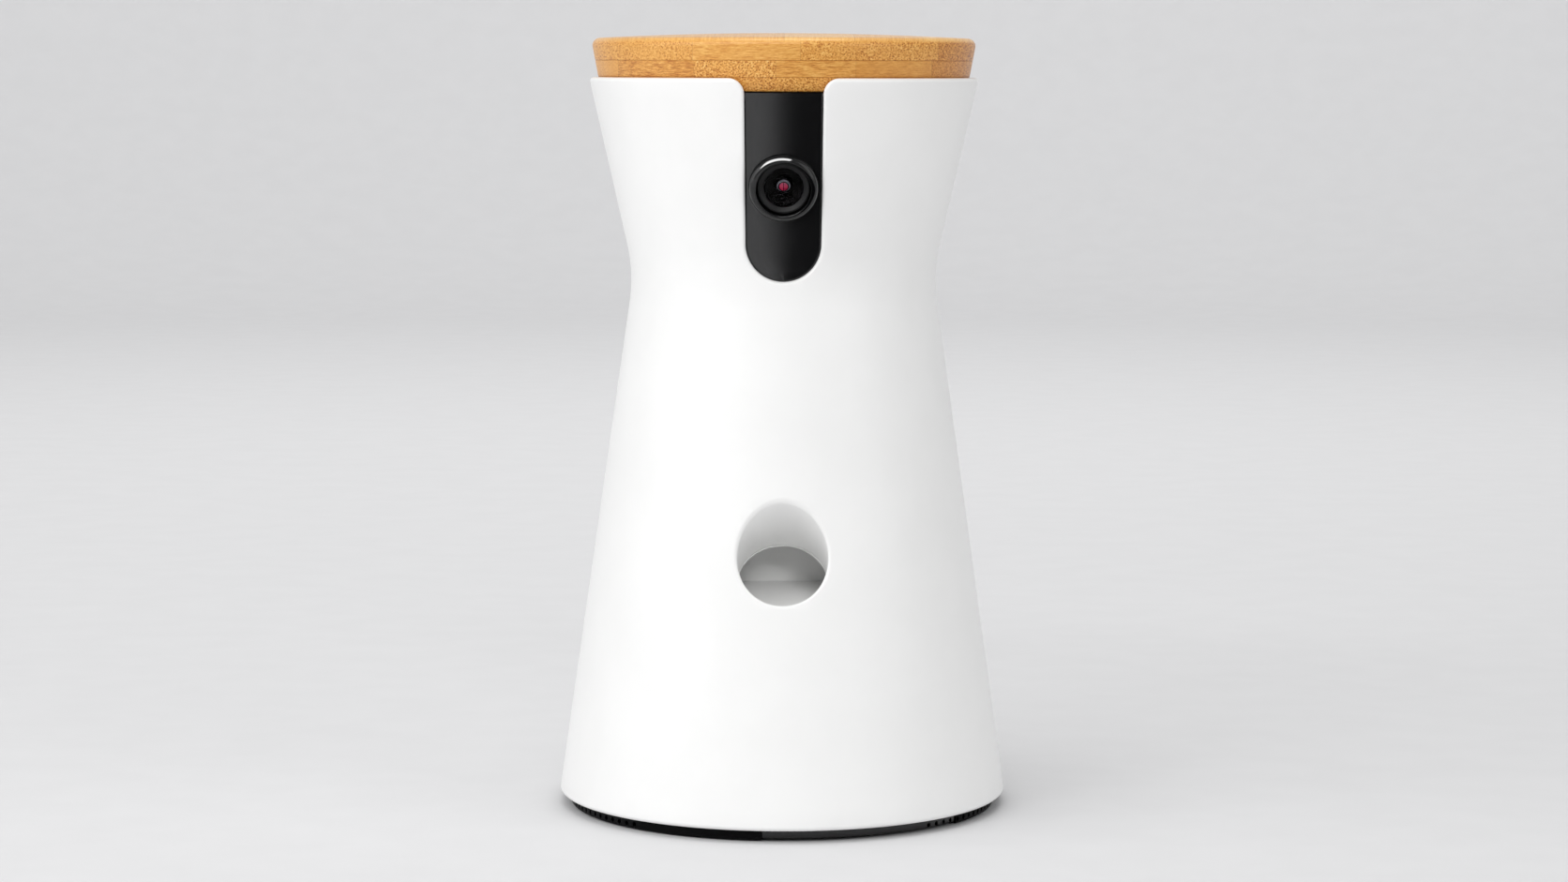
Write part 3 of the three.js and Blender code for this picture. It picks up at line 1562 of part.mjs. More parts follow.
function lidSeal() {
  const low = sealLowZ + fit.seat;
  const high = sealLowZ + plug.sealHeight - fit.seat;
  const slim = fit.gap + fit.seat;
  const outer = behindBay(ovalDisc(plugHalfWidth + plug.sealProud, low, high), slim);
  const inset = plug.grooveDepth - fit.gap;
  const innerDisc = ovalDisc(plugHalfWidth - inset, low - fit.overrun, high + fit.overrun);
  const inner = behindBay(innerDisc, plug.frontGap + inset);
  return cut(outer, inner);
}

// Wires that run inside, through points chosen clear of the moving pieces

const wireEndZ = boardTopZ + fit.gap;
const feedMotorLowZ = motorPlateZ - fit.seat - feedMotor.length;
const tossMotorEndX = tossHalfWidth - fit.gap - tossMotor.length;

function cameraCable() {
  return tube(
    [
      [0, ...besideLens(-camera.boardBelow - fit.gap - fit.seat * 2, boardFront)],
      [0, -38.5, 163],
      [0, -42, 156],
      [0, -45.3, 147],
      [0, -45.8, 137],
      [-3, -45.4, 127],
      [-11, -44.6, 118],
      [wireHoleX, wireHoleY, 112],
      [wireHoleX, wireHoleY, 105],
      [-20, -40, 96],
      [-22, -28, 82],
      [-23, -10, 66],
      [-23, 8, 50],
      [-20, 24, 34],
      [-14, 29, 24],
      [-12, boardFrontY + wiring.cableInset, 18],
      [-12, boardFrontY + wiring.cableInset, wireEndZ],
    ],
    wiring.radius,
    wiring.sides,
    wiring.steps,
  );
}

function feedMotorLead() {
  return tube(
    [
      [0, feedDistance, feedMotorLowZ - fit.gap],
      [0, feedDistance, 68],
      [2, 21, 56],
      [5, 24, 44],
      [8, 26, 30],
      [8, boardFrontY + wiring.leadInset, 18],
      [8, boardFrontY + wiring.leadInset, wireEndZ],
    ],
    wiring.leadRadius,
    wiring.sides,
    wiring.steps / 2,
  );
}

function tossMotorLead() {
  return tube(
    [
      [tossMotorEndX - fit.gap, ...motorCentre],
      [-16, ...motorCentre],
      [-19, -8, 30],
      [-12, 10, 26],
      [0, 22, 22],
      [0, boardFrontY + wiring.leadInset, 18],
      [0, boardFrontY + wiring.leadInset, wireEndZ],
    ],
    wiring.leadRadius,
    wiring.sides,
    wiring.steps / 2,
  );
}

// Assembly

piece("outer_shell", outerShell(), finishes.whiteShell);

piece("base_tray", baseTray(), finishes.blackPlastic);
piece("status_light_window", statusLightWindow(), finishes.smokedWindow);
const lightPlace = onOval(trayHalfWidth - tray.wall - lights.inset, lights.planDegrees);
const lightTurn = Math.atan(depthRatio * Math.tan(radians(lights.planDegrees)));
const lightUnit = unit([...lightPlace, floorTopZ + fit.seat], [0, 0, lightTurn]);
piece("light_board", lightBoard(), finishes.circuitBoard, lightUnit);
piece("ballast_plate", ballastPlate(), finishes.steel);
const [footX, footY] = onOval(trayHalfWidth - tray.wall - foot.inset, foot.planDegrees);
[[-1, 1], [1, 1], [1, -1], [-1, -1]].forEach(([sx, sy], i) => {
  piece(`rubber_foot_${i + 1}`, rubberFoot(), finishes.rubber).position.set(sx * footX, sy * footY, 0);
});
legPlaces().forEach(([x, y], i) => {
  piece(`base_screw_${i + 1}`, baseScrew(), finishes.steel).position.set(x, y, 0);
});

const speakerUnit = unit([0, speaker.y, 0]);
const speakerShapes = speakerParts();
piece("speaker_frame", speakerShapes.frame, finishes.blackPlastic, speakerUnit);
piece("speaker_cone", speakerShapes.cone, finishes.speakerPaper, speakerUnit);
piece("speaker_magnet", speakerShapes.magnet, finishes.steel, speakerUnit);

piece("power_board", powerBoard(), finishes.circuitBoard);
piece("usb_socket", usbSocket(), finishes.steel);
piece("wifi_module", wifiModule(), finishes.motorCan);
piece("reset_switch", resetSwitch(), finishes.chip);
piece("reset_button", resetButton(), finishes.greyPlastic).position.set(button.x, buttonY, 0);

piece("tower_frame", towerFrame(), finishes.greyPlastic);
piece("treat_hopper", treatHopper(), finishes.greyPlastic);

piece("feed_rotor", feedRotor(), finishes.greyPlastic);
piece("rotor_agitator", rotorAgitator(), finishes.silicone);
const feedShaftTop = agitatorZ + rotor.bossHeight / 2;
piece("rotor_shaft", rodZ(feedShaft.radius, feedShaft.bottomZ, feedShaftTop), finishes.steel);
piece("rotor_bush", rotorBush(), finishes.brass);
const rotorWheel = gear(
  feedGears.module,
  feedGears.gearTeeth,
  Math.PI / 2,
  feedGears.width,
  feedShaft.radius + fit.running,
);
piece("rotor_gear", rotorWheel, finishes.gearPlastic).position.set(0, 0, feedGears.bottomZ);

const feedUnit = unit([0, feedDistance, 0]);
piece("feed_pinion", feedPinion(), finishes.brass, feedUnit);
piece("motor_bracket", motorBracket(), finishes.steel, feedUnit);
const feedCan = motorCan(feedMotor.radius, feedMotor.length, motorPlateZ - fit.seat, feedMotor.pillarRadius);
piece("feed_motor", feedCan, finishes.motorCan, feedUnit);

piece("toss_housing", tossHousing(), finishes.greyPlastic);
const paddleUnit = unit([0, ...pivot]);
piece("toss_paddle", tossPaddle(), finishes.greyPlastic, paddleUnit).rotation.x = radians(toss.restDegrees);
const shaftLeft = armX - spring.armThickness - fit.gap;
const shaftRight = quadrantX + tossGears.width + tossGears.shaftTail;
piece("paddle_shaft", rodX(toss.shaftRadius, shaftLeft, shaftRight), finishes.steel, paddleUnit);
piece("paddle_quadrant", paddleQuadrant(), finishes.gearPlastic, paddleUnit);
piece("spring_arm", springArm(), finishes.gearPlastic, paddleUnit);
piece("toss_spring", tossSpring(), finishes.steel, paddleUnit);

const releaseUnit = unit([0, ...releaseCentre]);
piece("release_gear", releaseGear(), finishes.gearPlastic, releaseUnit);
piece("reduction_gear", reductionGear(), finishes.gearPlastic, releaseUnit);
const releaseShaftEnd = reductionX + tossGears.reductionWidth + tossGears.shaftTail;
const releaseShaft = rodX(tossGears.shaftRadius, tossHalfWidth - toss.bossLength, releaseShaftEnd);
piece("release_shaft", releaseShaft, finishes.steel, releaseUnit);

const driveUnit = unit([0, ...motorCentre]);
piece("toss_pinion", tossPinion(), finishes.brass, driveUnit);
const tossCan = motorCan(tossMotor.radius, tossMotor.length, tossHalfWidth - fit.gap, tossMotor.noseRadius);
piece("toss_motor", tossCan, finishes.motorCan, driveUnit).rotation.y = Math.PI / 2;

piece("camera_panel", cameraPanel(), finishes.glossBlack);
const cameraUnit = unit([0, lensFaceY, cameraZ], [Math.PI / 2 + lensTilt, 0, 0]);
piece("lens_bezel", lensBezel(), finishes.glossBlack, cameraUnit);
piece("lens_barrel", lensBarrel(), finishes.lensRing, cameraUnit);
piece("front_element", frontElement(), finishes.glass, cameraUnit);
piece("inner_element", innerElement(), finishes.redGlass, cameraUnit);
piece("lens_holder", lensHolder(), finishes.blackPlastic, cameraUnit);
piece("image_sensor", imageSensor(), finishes.chip, cameraUnit);
piece("camera_board", cameraBoard(), finishes.circuitBoard, cameraUnit);
piece("infrared_board", infraredBoard(), finishes.circuitBoard, cameraUnit);

piece("bamboo_lid", bambooLid(), finishes.bamboo);
piece("lid_plug", lidPlug(), finishes.whiteShell);
piece("lid_seal", lidSeal(), finishes.silicone);

piece("camera_cable", cameraCable(), finishes.cable);
piece("feed_motor_lead", feedMotorLead(), finishes.cable);
piece("toss_motor_lead", tossMotorLead(), finishes.cable);

export default product;
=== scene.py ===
import math

import bmesh
import bpy
from mathutils import Matrix, Vector


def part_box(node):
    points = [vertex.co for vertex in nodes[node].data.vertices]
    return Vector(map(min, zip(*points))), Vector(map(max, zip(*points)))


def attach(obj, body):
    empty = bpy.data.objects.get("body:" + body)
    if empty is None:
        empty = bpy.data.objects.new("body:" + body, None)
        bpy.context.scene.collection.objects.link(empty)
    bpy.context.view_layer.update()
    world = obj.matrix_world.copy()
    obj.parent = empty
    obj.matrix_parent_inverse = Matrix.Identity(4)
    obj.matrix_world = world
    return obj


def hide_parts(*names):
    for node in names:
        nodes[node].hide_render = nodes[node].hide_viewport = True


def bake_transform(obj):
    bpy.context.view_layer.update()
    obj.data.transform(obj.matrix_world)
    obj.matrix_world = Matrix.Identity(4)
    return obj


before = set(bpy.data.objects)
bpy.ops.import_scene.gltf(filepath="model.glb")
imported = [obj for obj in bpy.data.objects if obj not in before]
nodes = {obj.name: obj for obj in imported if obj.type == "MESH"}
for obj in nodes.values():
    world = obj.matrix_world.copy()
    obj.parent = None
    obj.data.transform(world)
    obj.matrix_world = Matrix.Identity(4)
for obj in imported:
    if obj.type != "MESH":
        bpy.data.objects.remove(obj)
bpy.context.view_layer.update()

mm = 0.001  # pieces are drawn in millimetres and scaled once
print("frame loaded:", len(nodes), "nodes")


# Finishes: a socket that takes sums and products, and the node graph of each finish

class Signal:  # one socket of a material, to reckon with in plain expressions
    def __init__(self, tree, socket=None):
        self.tree = tree
        self.socket = socket

    def node(self, kind, settings=None, values=None, out=0):  # settings first, then values and links
        made = self.tree.nodes.new(kind)
        for name, value in (settings or {}).items():
            if name == "stops":
                ramp = made.color_ramp
                for i, (place, colour) in enumerate(value):
                    stop = ramp.elements[i] if i < 2 else ramp.elements.new(place)
                    stop.position = place
                    stop.color = colour
            else:
                setattr(made, name, value)
        for key, value in (values or {}).items():
            if isinstance(value, Signal):
                self.tree.links.new(value.socket, made.inputs[key])
            else:
                made.inputs[key].default_value = value
        return Signal(self.tree, made.outputs[out])

    def math(self, operation, *values):
        return self.node("ShaderNodeMath", {"operation": operation}, dict(enumerate(values)))

    def vectorMath(self, operation, other):
        return self.node("ShaderNodeVectorMath", {"operation": operation}, {0: self, 1: other})

    def __add__(self, other):
        return self.math("ADD", self, other)

    def __sub__(self, other):
        return self.math("SUBTRACT", self, other)

    def __rsub__(self, other):
        return self.math("SUBTRACT", other, self)

    def __mul__(self, other):
        return self.math("MULTIPLY", self, other)

    def __truediv__(self, other):
        return self.math("DIVIDE", self, other)

    def __gt__(self, other):
        return self.math("GREATER_THAN", self, other)

    def __lt__(self, other):
        return self.math("LESS_THAN", self, other)

    __radd__ = __add__
    __rmul__ = __mul__

    def root(self):
        return self.math("SQRT", self)

    def whole(self):
        return self.math("FLOOR", self)

    def rest(self):
        return self.math("FRACT", self)

    def over(self, low, high):  # 0 below the low value, 1 above the high one, smooth between
        values = {"Value": self, "From Min": low, "From Max": high}
        return self.node("ShaderNodeMapRange", {"interpolation_type": "SMOOTHSTEP"}, values)

    def between(self, low, high):
        return (self > low) * (self < high)

    def near(self, value, reach):  # 1 at the value, down to 0 a reach away on both sides
        off = self - value
        return 1 - (off * off).over(0.0, reach ** 2)

    def tint(self, first, second):  # from the first colour to the second as this goes from 0 to 1
        values = {0: self, 6: first, 7: second}
        return self.node("ShaderNodeMix", {"data_type": "RGBA"}, values, 2)

    def parts(self):
        axes = ("X", "Y", "Z")
        return [self.node("ShaderNodeSeparateXYZ", {}, {"Vector": self}, axis) for axis in axes]

    def inMillimetres(self):
        return self.vectorMath("MULTIPLY", (1 / mm, 1 / mm, 1 / mm))

    def joined(self, x, y, z):
        return self.node("ShaderNodeCombineXYZ", {}, {"X": x, "Y": y, "Z": z})

    def along(self, direction):  # how far a place lies along a direction
        settings = {"operation": "DOT_PRODUCT"}
        return self.node("ShaderNodeVectorMath", settings, {0: self, 1: tuple(direction)}, "Value")

    def cells(self, scale, distance="EUCLIDEAN", dimensions="3D"):
        settings = {"distance": distance, "voronoi_dimensions": dimensions}
        return self.node("ShaderNodeTexVoronoi", settings, {"Vector": self, "Scale": scale}, "Distance")

    def noise(self, scale, detail=2.0, roughness=0.5):
        values = {"Vector": self, "Scale": scale, "Detail": detail, "Roughness": roughness}
        return self.node("ShaderNodeTexNoise", {}, values)

    def bump(self, distance, strength=1.0):
        values = {"Height": self, "Distance": distance, "Strength": strength}
        return self.node("ShaderNodeBump", {}, values)


def colour(red, green, blue):  # a screen colour, 0 to 255, as a linear one
    def linear(value):
        share = value / 255
        return share / 12.92 if share <= 0.04045 else ((share + 0.055) / 1.055) ** 2.4
    return (linear(red), linear(green), linear(blue), 1.0)


def makeFinish(name, constants, paint=None):
    finish = bpy.data.materials.new(name)
    finish.use_nodes = True
    tree = finish.node_tree
    shader = tree.nodes["Principled BSDF"]
    for key, value in constants.items():
        shader.inputs[key].default_value = value
    if paint:
        place = Signal(tree).node("ShaderNodeTexCoord", {}, {}, "Object")
        for key, signal in paint(place).items():
            tree.links.new(signal.socket, shader.inputs[key])
    return finish


moulding = {"speckScale": 2600, "mottleScale": 45, "flowScale": 14}


def mouldedPlastic(name, pale, dark, smooth, rough, speck=0.00002, constants=None):
    def paint(place):  # fine texture of the mould, faint mottling, slightly uneven gloss
        mottle = place.noise(moulding["mottleScale"], 4)
        flow = place.noise(moulding["flowScale"], 1)
        grain = place.noise(moulding["speckScale"], 1)
        return {
            "Base Color": mottle.over(0.25, 0.75).tint(colour(*dark), colour(*pale)),
            "Roughness": smooth + (rough - smooth) * (flow * 0.7 + grain * 0.3),
            "Normal": grain.bump(speck, 0.5),
        }
    return makeFinish(name, constants or {}, paint)


whiteShell = mouldedPlastic("whiteShell", (249, 249, 248), (246, 246, 245), 0.3, 0.42)
whitePlug = mouldedPlastic("whitePlug", (244, 244, 241), (239, 239, 236), 0.36, 0.48)
greyPlastic = mouldedPlastic("greyPlastic", (222, 221, 218), (214, 213, 209), 0.42, 0.55)
chamberPlastic = mouldedPlastic("chamberPlastic", (252, 252, 251), (249, 249, 248), 0.42, 0.54)
baseBlack = mouldedPlastic("baseBlack", (13, 13, 14), (9, 9, 10), 0.42, 0.54, 0.00004,
                           {"Specular IOR Level": 0.06})
innerBlack = mouldedPlastic("innerBlack", (34, 34, 36), (27, 27, 29), 0.45, 0.6, 0.00003)
gearPlastic = mouldedPlastic("gearPlastic", (236, 231, 216), (226, 220, 203), 0.4, 0.5)
softSilicone = mouldedPlastic("softSilicone", (232, 231, 226), (222, 221, 215), 0.6, 0.72, 0.00003)
footRubber = mouldedPlastic("footRubber", (44, 44, 46), (34, 34, 36), 0.7, 0.85, 0.00006)
cableJacket = mouldedPlastic("cableJacket", (40, 42, 46), (31, 33, 37), 0.5, 0.62, 0.00003)
chipBlack = mouldedPlastic("chipBlack", (31, 31, 33), (24, 24, 26), 0.35, 0.5, 0.00002)
speakerPaper = mouldedPlastic("speakerPaper", (52, 51, 50), (38, 38, 37), 0.8, 0.92, 0.00012)
print("plastics made")


# Making: outlines in millimetres, turned, lofted and carved into closed pieces

def rounded(corners, steps=6):  # a closed run of corners (x, z, radius), each rounded by its radius
    run = []
    for i, (x, z, *more) in enumerate(corners):
        corner = Vector((x, z))
        if not more:
            run.append(corner)
            continue
        back = (Vector(corners[i - 1][:2]) - corner).normalized()
        on = (Vector(corners[(i + 1) % len(corners)][:2]) - corner).normalized()
        half = back.angle(on) / 2
        centre = corner + (back + on).normalized() * (more[0] / math.sin(half))
        start = corner + back * (more[0] / math.tan(half)) - centre
        end = corner + on * (more[0] / math.tan(half)) - centre
        turn = math.atan2(start.x * end.y - start.y * end.x, start.dot(end))
        run += [centre + Matrix.Rotation(turn * k / steps, 2) @ start for k in range(steps + 1)]
    return run


def evenly(count, start=0.0, end=1.0):  # even steps from the start to the end, both included
    return [start + (end - start) * i / count for i in range(count + 1)]


def turnSteps(count):  # the angles of even steps round a full turn
    return evenly(count, 0, math.tau)[:-1]


def circle(radius, sides, x=0, y=0):
    return [(x + radius * math.cos(a), y + radius * math.sin(a)) for a in turnSteps(sides)]


def rectangle(low, high, radius, steps=6):  # between two corners, with its own corners rounded
    (left, bottom), (right, top) = low, high
    corners = [(left, bottom), (right, bottom), (right, top), (left, top)]
    return rounded([(*corner, radius) for corner in corners], steps)


def divided(points, longest):  # a closed run with its long stretches split
    run = []
    for a, b in zip(points, points[1:] + points[:1]):
        count = max(1, math.ceil((b - a).length / longest))
        run += [a.lerp(b, i / count) for i in range(count)]
    return run


def spun(section, steps=192, ratio=1.0, span=math.tau):  # a section of (radius, z) points turned about Z
    bm = bmesh.new()
    verts = [bm.verts.new((p[0], 0, p[1])) for p in section]
    edges = [bm.edges.new(pair) for pair in zip(verts, verts[1:])]
    if section[0][0] > 0:
        edges.append(bm.edges.new((verts[-1], verts[0])))
    whole = span == math.tau
    bmesh.ops.spin(bm, geom=verts + edges, axis=(0, 0, 1), angle=span, steps=steps, use_merge=whole)
    bmesh.ops.remove_doubles(bm, verts=bm.verts, dist=0.0005)
    bmesh.ops.scale(bm, vec=(1, ratio, 1), verts=bm.verts)
    if not whole:
        bmesh.ops.holes_fill(bm, edges=[e for e in bm.edges if e.is_boundary])
    bmesh.ops.recalc_face_normals(bm, faces=bm.faces)
    return bm


def lofted(rings):  # a closed skin through rings with equal counts of points
    bm = bmesh.new()
    loops = []
    for ring in rings:
        verts = [bm.verts.new(p) for p in ring]
        loops.append([bm.edges.new((verts[i - 1], verts[i])) for i in range(len(verts))])
    for low, high in zip(loops, loops[1:]):
        bmesh.ops.bridge_loops(bm, edges=low + high)
    bmesh.ops.contextual_create(bm, geom=loops[0])
    bmesh.ops.contextual_create(bm, geom=loops[-1])
    bmesh.ops.recalc_face_normals(bm, faces=bm.faces)
    return bm


def rodBetween(radius, start, end, sides=48):
    bm = bmesh.new()
    axis = Vector(end) - Vector(start)
    turn = Vector((0, 0, 1)).rotation_difference(axis).to_matrix().to_4x4()
    middle = Matrix.Translation((Vector(start) + Vector(end)) / 2)
    size = {"radius1": radius, "radius2": radius, "depth": axis.length}
    bmesh.ops.create_cone(bm, cap_ends=True, segments=sides, matrix=middle @ turn, **size)
    return bm


def boxBetween(low, high):
    bm = bmesh.new()
    low, high = Vector(low), Vector(high)
    place = Matrix.Translation((low + high) / 2) @ Matrix.Diagonal((*(high - low), 1))
    bmesh.ops.create_cube(bm, size=1, matrix=place)
    return bm


def together(*parts):  # several meshes in one, and nothing joined
    whole = bmesh.new()
    for part in parts:
        mesh = bpy.data.meshes.new("part")
        part.to_mesh(mesh)
        whole.from_mesh(mesh)
        bpy.data.meshes.remove(mesh)
        part.free()
    return whole


def objectFrom(name, bm, *finishes):
    mesh = bpy.data.meshes.new(name)
    bm.to_mesh(mesh)
    bm.free()
    for finish in finishes:
        mesh.materials.append(finish)
    made = bpy.data.objects.new(name, mesh)
    bpy.context.scene.collection.objects.link(made)
    return made


def carved(bm, tool, operation="DIFFERENCE"):  # one mesh cut by, joined to or kept inside another
    pair = [objectFrom("work", bm), objectFrom("work", tool)]
    carve = pair[0].modifiers.new("carve", "BOOLEAN")
    carve.operation, carve.solver, carve.object = operation, "MANIFOLD", pair[1]
    solved = pair[0].evaluated_get(bpy.context.evaluated_depsgraph_get())
    mesh = bpy.data.meshes.new_from_object(solved)
    result = bmesh.new()
    result.from_mesh(mesh)
    for mesh in [mesh] + [old.data for old in pair]:
        bpy.data.meshes.remove(mesh)
    bmesh.ops.remove_doubles(result, verts=result.verts, dist=0.0008)
    bmesh.ops.dissolve_degenerate(result, edges=result.edges, dist=0.0008)
    return result


def fused(bm, *parts):
    for part in parts:
        bm = carved(bm, part, "UNION")
    return bm


def eased(bm, edges, radius, steps=3):  # some edges rounded off
    bmesh.ops.bevel(bm, geom=edges, affect="EDGES", offset=radius, segments=steps, profile=0.5, material=-1)
    return bm


def addPiece(name, bm, finish, rides, slot, *replaced, crease=32, matrix=None):
    bmesh.ops.transform(bm, matrix=Matrix.Scale(mm, 4) @ (matrix or Matrix()), verts=bm.verts)
    made = objectFrom(name, bm, finish)
    made.data.shade_smooth()
    made.data.set_sharp_from_angle(angle=math.radians(crease))
    if rides:
        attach(made, rides)
    if replaced:
        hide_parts(*replaced)
    return made


# The body's form, which the shell, the panel and the tray all follow

bodyForm = {
    "halfWidth": 65.3,
    "halfDepth": 75.0,
    "bottomZ": 3.4,
    "bottomEdge": 1.2,
    "waistZ": 155.4,
    "waistHalfWidth": 43.65,
    "waistRadius": 47.0,
    "rimZ": 212.2,
    "rimHalfWidth": 56.6,
    "rimEdge": 1.1,
    "innerEdge": 0.4,
    "wall": 2.1,
    "rowHeight": 4.0,
    "steps": 192,
    "waistSteps": 18,
}
depthRatio = bodyForm["halfDepth"] / bodyForm["halfWidth"]
foot = (bodyForm["halfWidth"], bodyForm["bottomZ"])
rim = (bodyForm["rimHalfWidth"], bodyForm["rimZ"])
waist = (bodyForm["waistHalfWidth"], bodyForm["waistZ"], bodyForm["waistRadius"])
waistArc = rounded([foot, waist, rim], bodyForm["waistSteps"])[1:-1]
taper = [Vector(foot)] + waistArc + [Vector(rim)]


def halfWidthAt(z):  # half the body's width at a height, carried on past its ends
    i = 1
    while i < len(taper) - 1 and taper[i].y < z:
        i += 1
    low, high = taper[i - 1], taper[i]
    return low.x + (high.x - low.x) * (z - low.y) / (high.y - low.y)


def onSkin(x, z, depth, side=-1):  # the point of the body's skin, a depth in, at the front or the back
    across = halfWidthAt(z) - depth
    return Vector((x, side * depthRatio * math.sqrt(across * across - x * x), z))


def lipSteps(radius):  # growth and depth of a rounded lip, from half its radius outside the skin inwards
    angles = [math.radians(a) for a in (14, 26, 38, 50, 62, 76, 90)]
    first = angles[0]
    outside = (radius * (1 - math.sin(first) + 0.5 * math.cos(first)),
               radius * (1 - math.cos(first) - 0.5 * math.sin(first)))
    return [outside] + [(radius * (1 - math.sin(a)), radius * (1 - math.cos(a))) for a in angles]


cutterEnds = {-1: (-95, -20), 1: (90, 40)}  # where a cutter starts and ends in y, at the front and the back
past = 4  # how far a cutter reaches beyond what it goes through


def flared(outline, steps, side=-1):  # a cutter that widens at the body's skin, which leaves a rounded lip
    outlines = [(outline(grow), depth) for grow, depth in steps]
    start, end = cutterEnds[side]
    rings = [[(x, start, z) for x, z in outlines[0][0]]]
    rings += [[onSkin(x, z, depth, side) for x, z in points] for points, depth in outlines]
    rings.append([(x, end, z) for x, z in outlines[-1][0]])
    return lofted(rings)


notch = {
    "topHalfWidth": 11.0,
    "lowerHalfWidth": 10.6,
    "bottomZ": 155.2,
    "corner": 4.5,
    "lip": 1.0,
    "rampSlope": 0.3,
    "rampLength": 12.0,
    "bowlSteps": 48,
    "sideSteps": 10,
    "cornerSteps": 10,
    "above": 8.0,
}


def bowlAndSides(grow, topZ):  # the notch from its top left round its bowl to its top right, in x and z
    top, low = notch["topHalfWidth"] + grow, notch["lowerHalfWidth"] + grow
    centreZ = notch["bottomZ"] + notch["lowerHalfWidth"]
    shares = evenly(notch["sideSteps"])[:-1]
    side = [(top + (low - top) * share, topZ + (centreZ - topZ) * share) for share in shares]
    angles = evenly(notch["bowlSteps"], 0, math.pi)
    bowl = [(-low * math.cos(a), centreZ - low * math.sin(a)) for a in angles]
    return [(-x, z) for x, z in side] + bowl + side[::-1]


def openNotch(grow):  # the notch with the rounded corners where it runs out over the rim
    corner, rimZ, ramp = notch["corner"], bodyForm["rimZ"], notch["rampLength"]
    centreX = notch["topHalfWidth"] + corner
    radius = corner - grow
    angles = evenly(notch["cornerSteps"], 0, math.pi / 2)
    arc = [(centreX - radius * math.cos(a), rimZ - corner + radius * math.sin(a)) for a in angles]
    far = centreX + ramp
    run = arc[1:] + [(far, rimZ - grow + ramp * notch["rampSlope"]), (far, rimZ + notch["above"])]
    return [(-x, z) for x, z in run[::-1]] + bowlAndSides(grow, rimZ - corner) + run


throat = {
    "centreZ": 80.1,
    "riseDegrees": 37.0,
    "boreRadius": 12.65,
    "wall": 1.6,
    "length": 17.3,
    "lip": 1.2,
    "innerLip": 0.5,
    "collarDepth": 1.0,
    "sides": 96,
    "cutterFrom": -45.0,
    "skinBetween": (-40.0, 17.0),
    "halvings": 40,
}
rise = math.radians(throat["riseDegrees"])
inward = Vector((0, math.cos(rise), -math.sin(rise)))
upward = Vector((0, math.sin(rise), math.cos(rise)))
mouth = onSkin(0, throat["centreZ"], 0)


def throatRing(radius, along):  # a plain ring across the throat, a way in along it
    centre = mouth + inward * along
    angles = turnSteps(throat["sides"])
    return [centre + radius * (Vector((math.cos(a), 0, 0)) + upward * math.sin(a)) for a in angles]


def throatRingOnSkin(radius, depth):  # the ring's points moved along the throat to the body's skin
    ring = []
    for point in throatRing(radius, 0):
        near, far = throat["skinBetween"]
        for _ in range(throat["halvings"]):
            middle = (near + far) / 2
            at = point + inward * middle
            outside = math.hypot(at.x, at.y / depthRatio) > halfWidthAt(at.z) - depth
            near, far = (middle, far) if outside else (near, middle)
        ring.append(point + inward * near)
    return ring


inlet = {"z": 16.0, "halfWidth": 6.0, "halfHeight": 4.0, "corner": 1.5, "lip": 0.6}


def inletOutline(grow):
    wide, high = inlet["halfWidth"] + grow, inlet["halfHeight"] + grow
    return rectangle((-wide, inlet["z"] - high), (wide, inlet["z"] + high), inlet["corner"] + grow)


def throatCollar():
    radius, edge = throat["boreRadius"] + throat["wall"], throat["innerLip"]
    return lofted([
        throatRingOnSkin(radius, throat["collarDepth"]),
        throatRing(radius, throat["length"] - edge),
        throatRing(radius - edge, throat["length"]),
    ])


def throatBore():  # flared at the skin, and eased where it ends inside
    bore, lip = throat["boreRadius"], throat["innerLip"]
    steps = lipSteps(throat["lip"])
    rings = [throatRing(bore + steps[0][0], throat["cutterFrom"])]
    rings += [throatRingOnSkin(bore + grow, depth) for grow, depth in steps]
    for grow, on in ((0, -1), (0.3, -0.3), (1.2, 0.2), (1.2, 8)):
        rings.append(throatRing(bore + lip * grow, throat["length"] + lip * on))
    return lofted(rings)


def makeShell():
    form = bodyForm
    section = rounded([
        (form["halfWidth"] - form["wall"], form["bottomZ"], form["innerEdge"]),
        (form["halfWidth"], form["bottomZ"], form["bottomEdge"]),
        *[tuple(p) for p in waistArc],
        (*rim, form["rimEdge"]),
        (form["rimHalfWidth"] - form["wall"], form["rimZ"], form["innerEdge"]),
        *[(p.x - form["wall"], p.y) for p in waistArc[::-1]],
    ])
    skin = spun(divided(section, form["rowHeight"]), form["steps"], depthRatio)
    whole = carved(fused(skin, throatCollar()), throatBore())
    whole = carved(whole, flared(openNotch, lipSteps(notch["lip"])))
    return carved(whole, flared(inletOutline, lipSteps(inlet["lip"]), 1))


addPiece("shell", makeShell(), whiteShell, "body", "white_shell", "outer_shell")
print("shell made")


# The dark panel in the notch

panel = {
    "recess": 1.0,
    "thickness": 1.6,
    "gap": 0.16,
    "topZ": 208.1,
    "edge": 0.35,
    "flangeDepth": 2.4,
    "flangeThickness": 1.2,
    "flangeOverlap": 3.0,
    "flangeTopZ": 204.0,
    "bottomZ": 148.2,
    "rowHeight": 2.5,
    "above": 3.0,
    "holeReach": 12.0,
}
cameraZ = bodyForm["rimZ"] - 30.45
lensFace = onSkin(0, cameraZ, panel["recess"])
rimRise = (bodyForm["rimHalfWidth"] - bodyForm["waistHalfWidth"]) * depthRatio
lensTilt = math.atan(rimRise / (bodyForm["rimZ"] - bodyForm["waistZ"]))
lensFrame = Matrix.Translation(lensFace) @ Matrix.Rotation(math.pi / 2 + lensTilt, 4, "X")


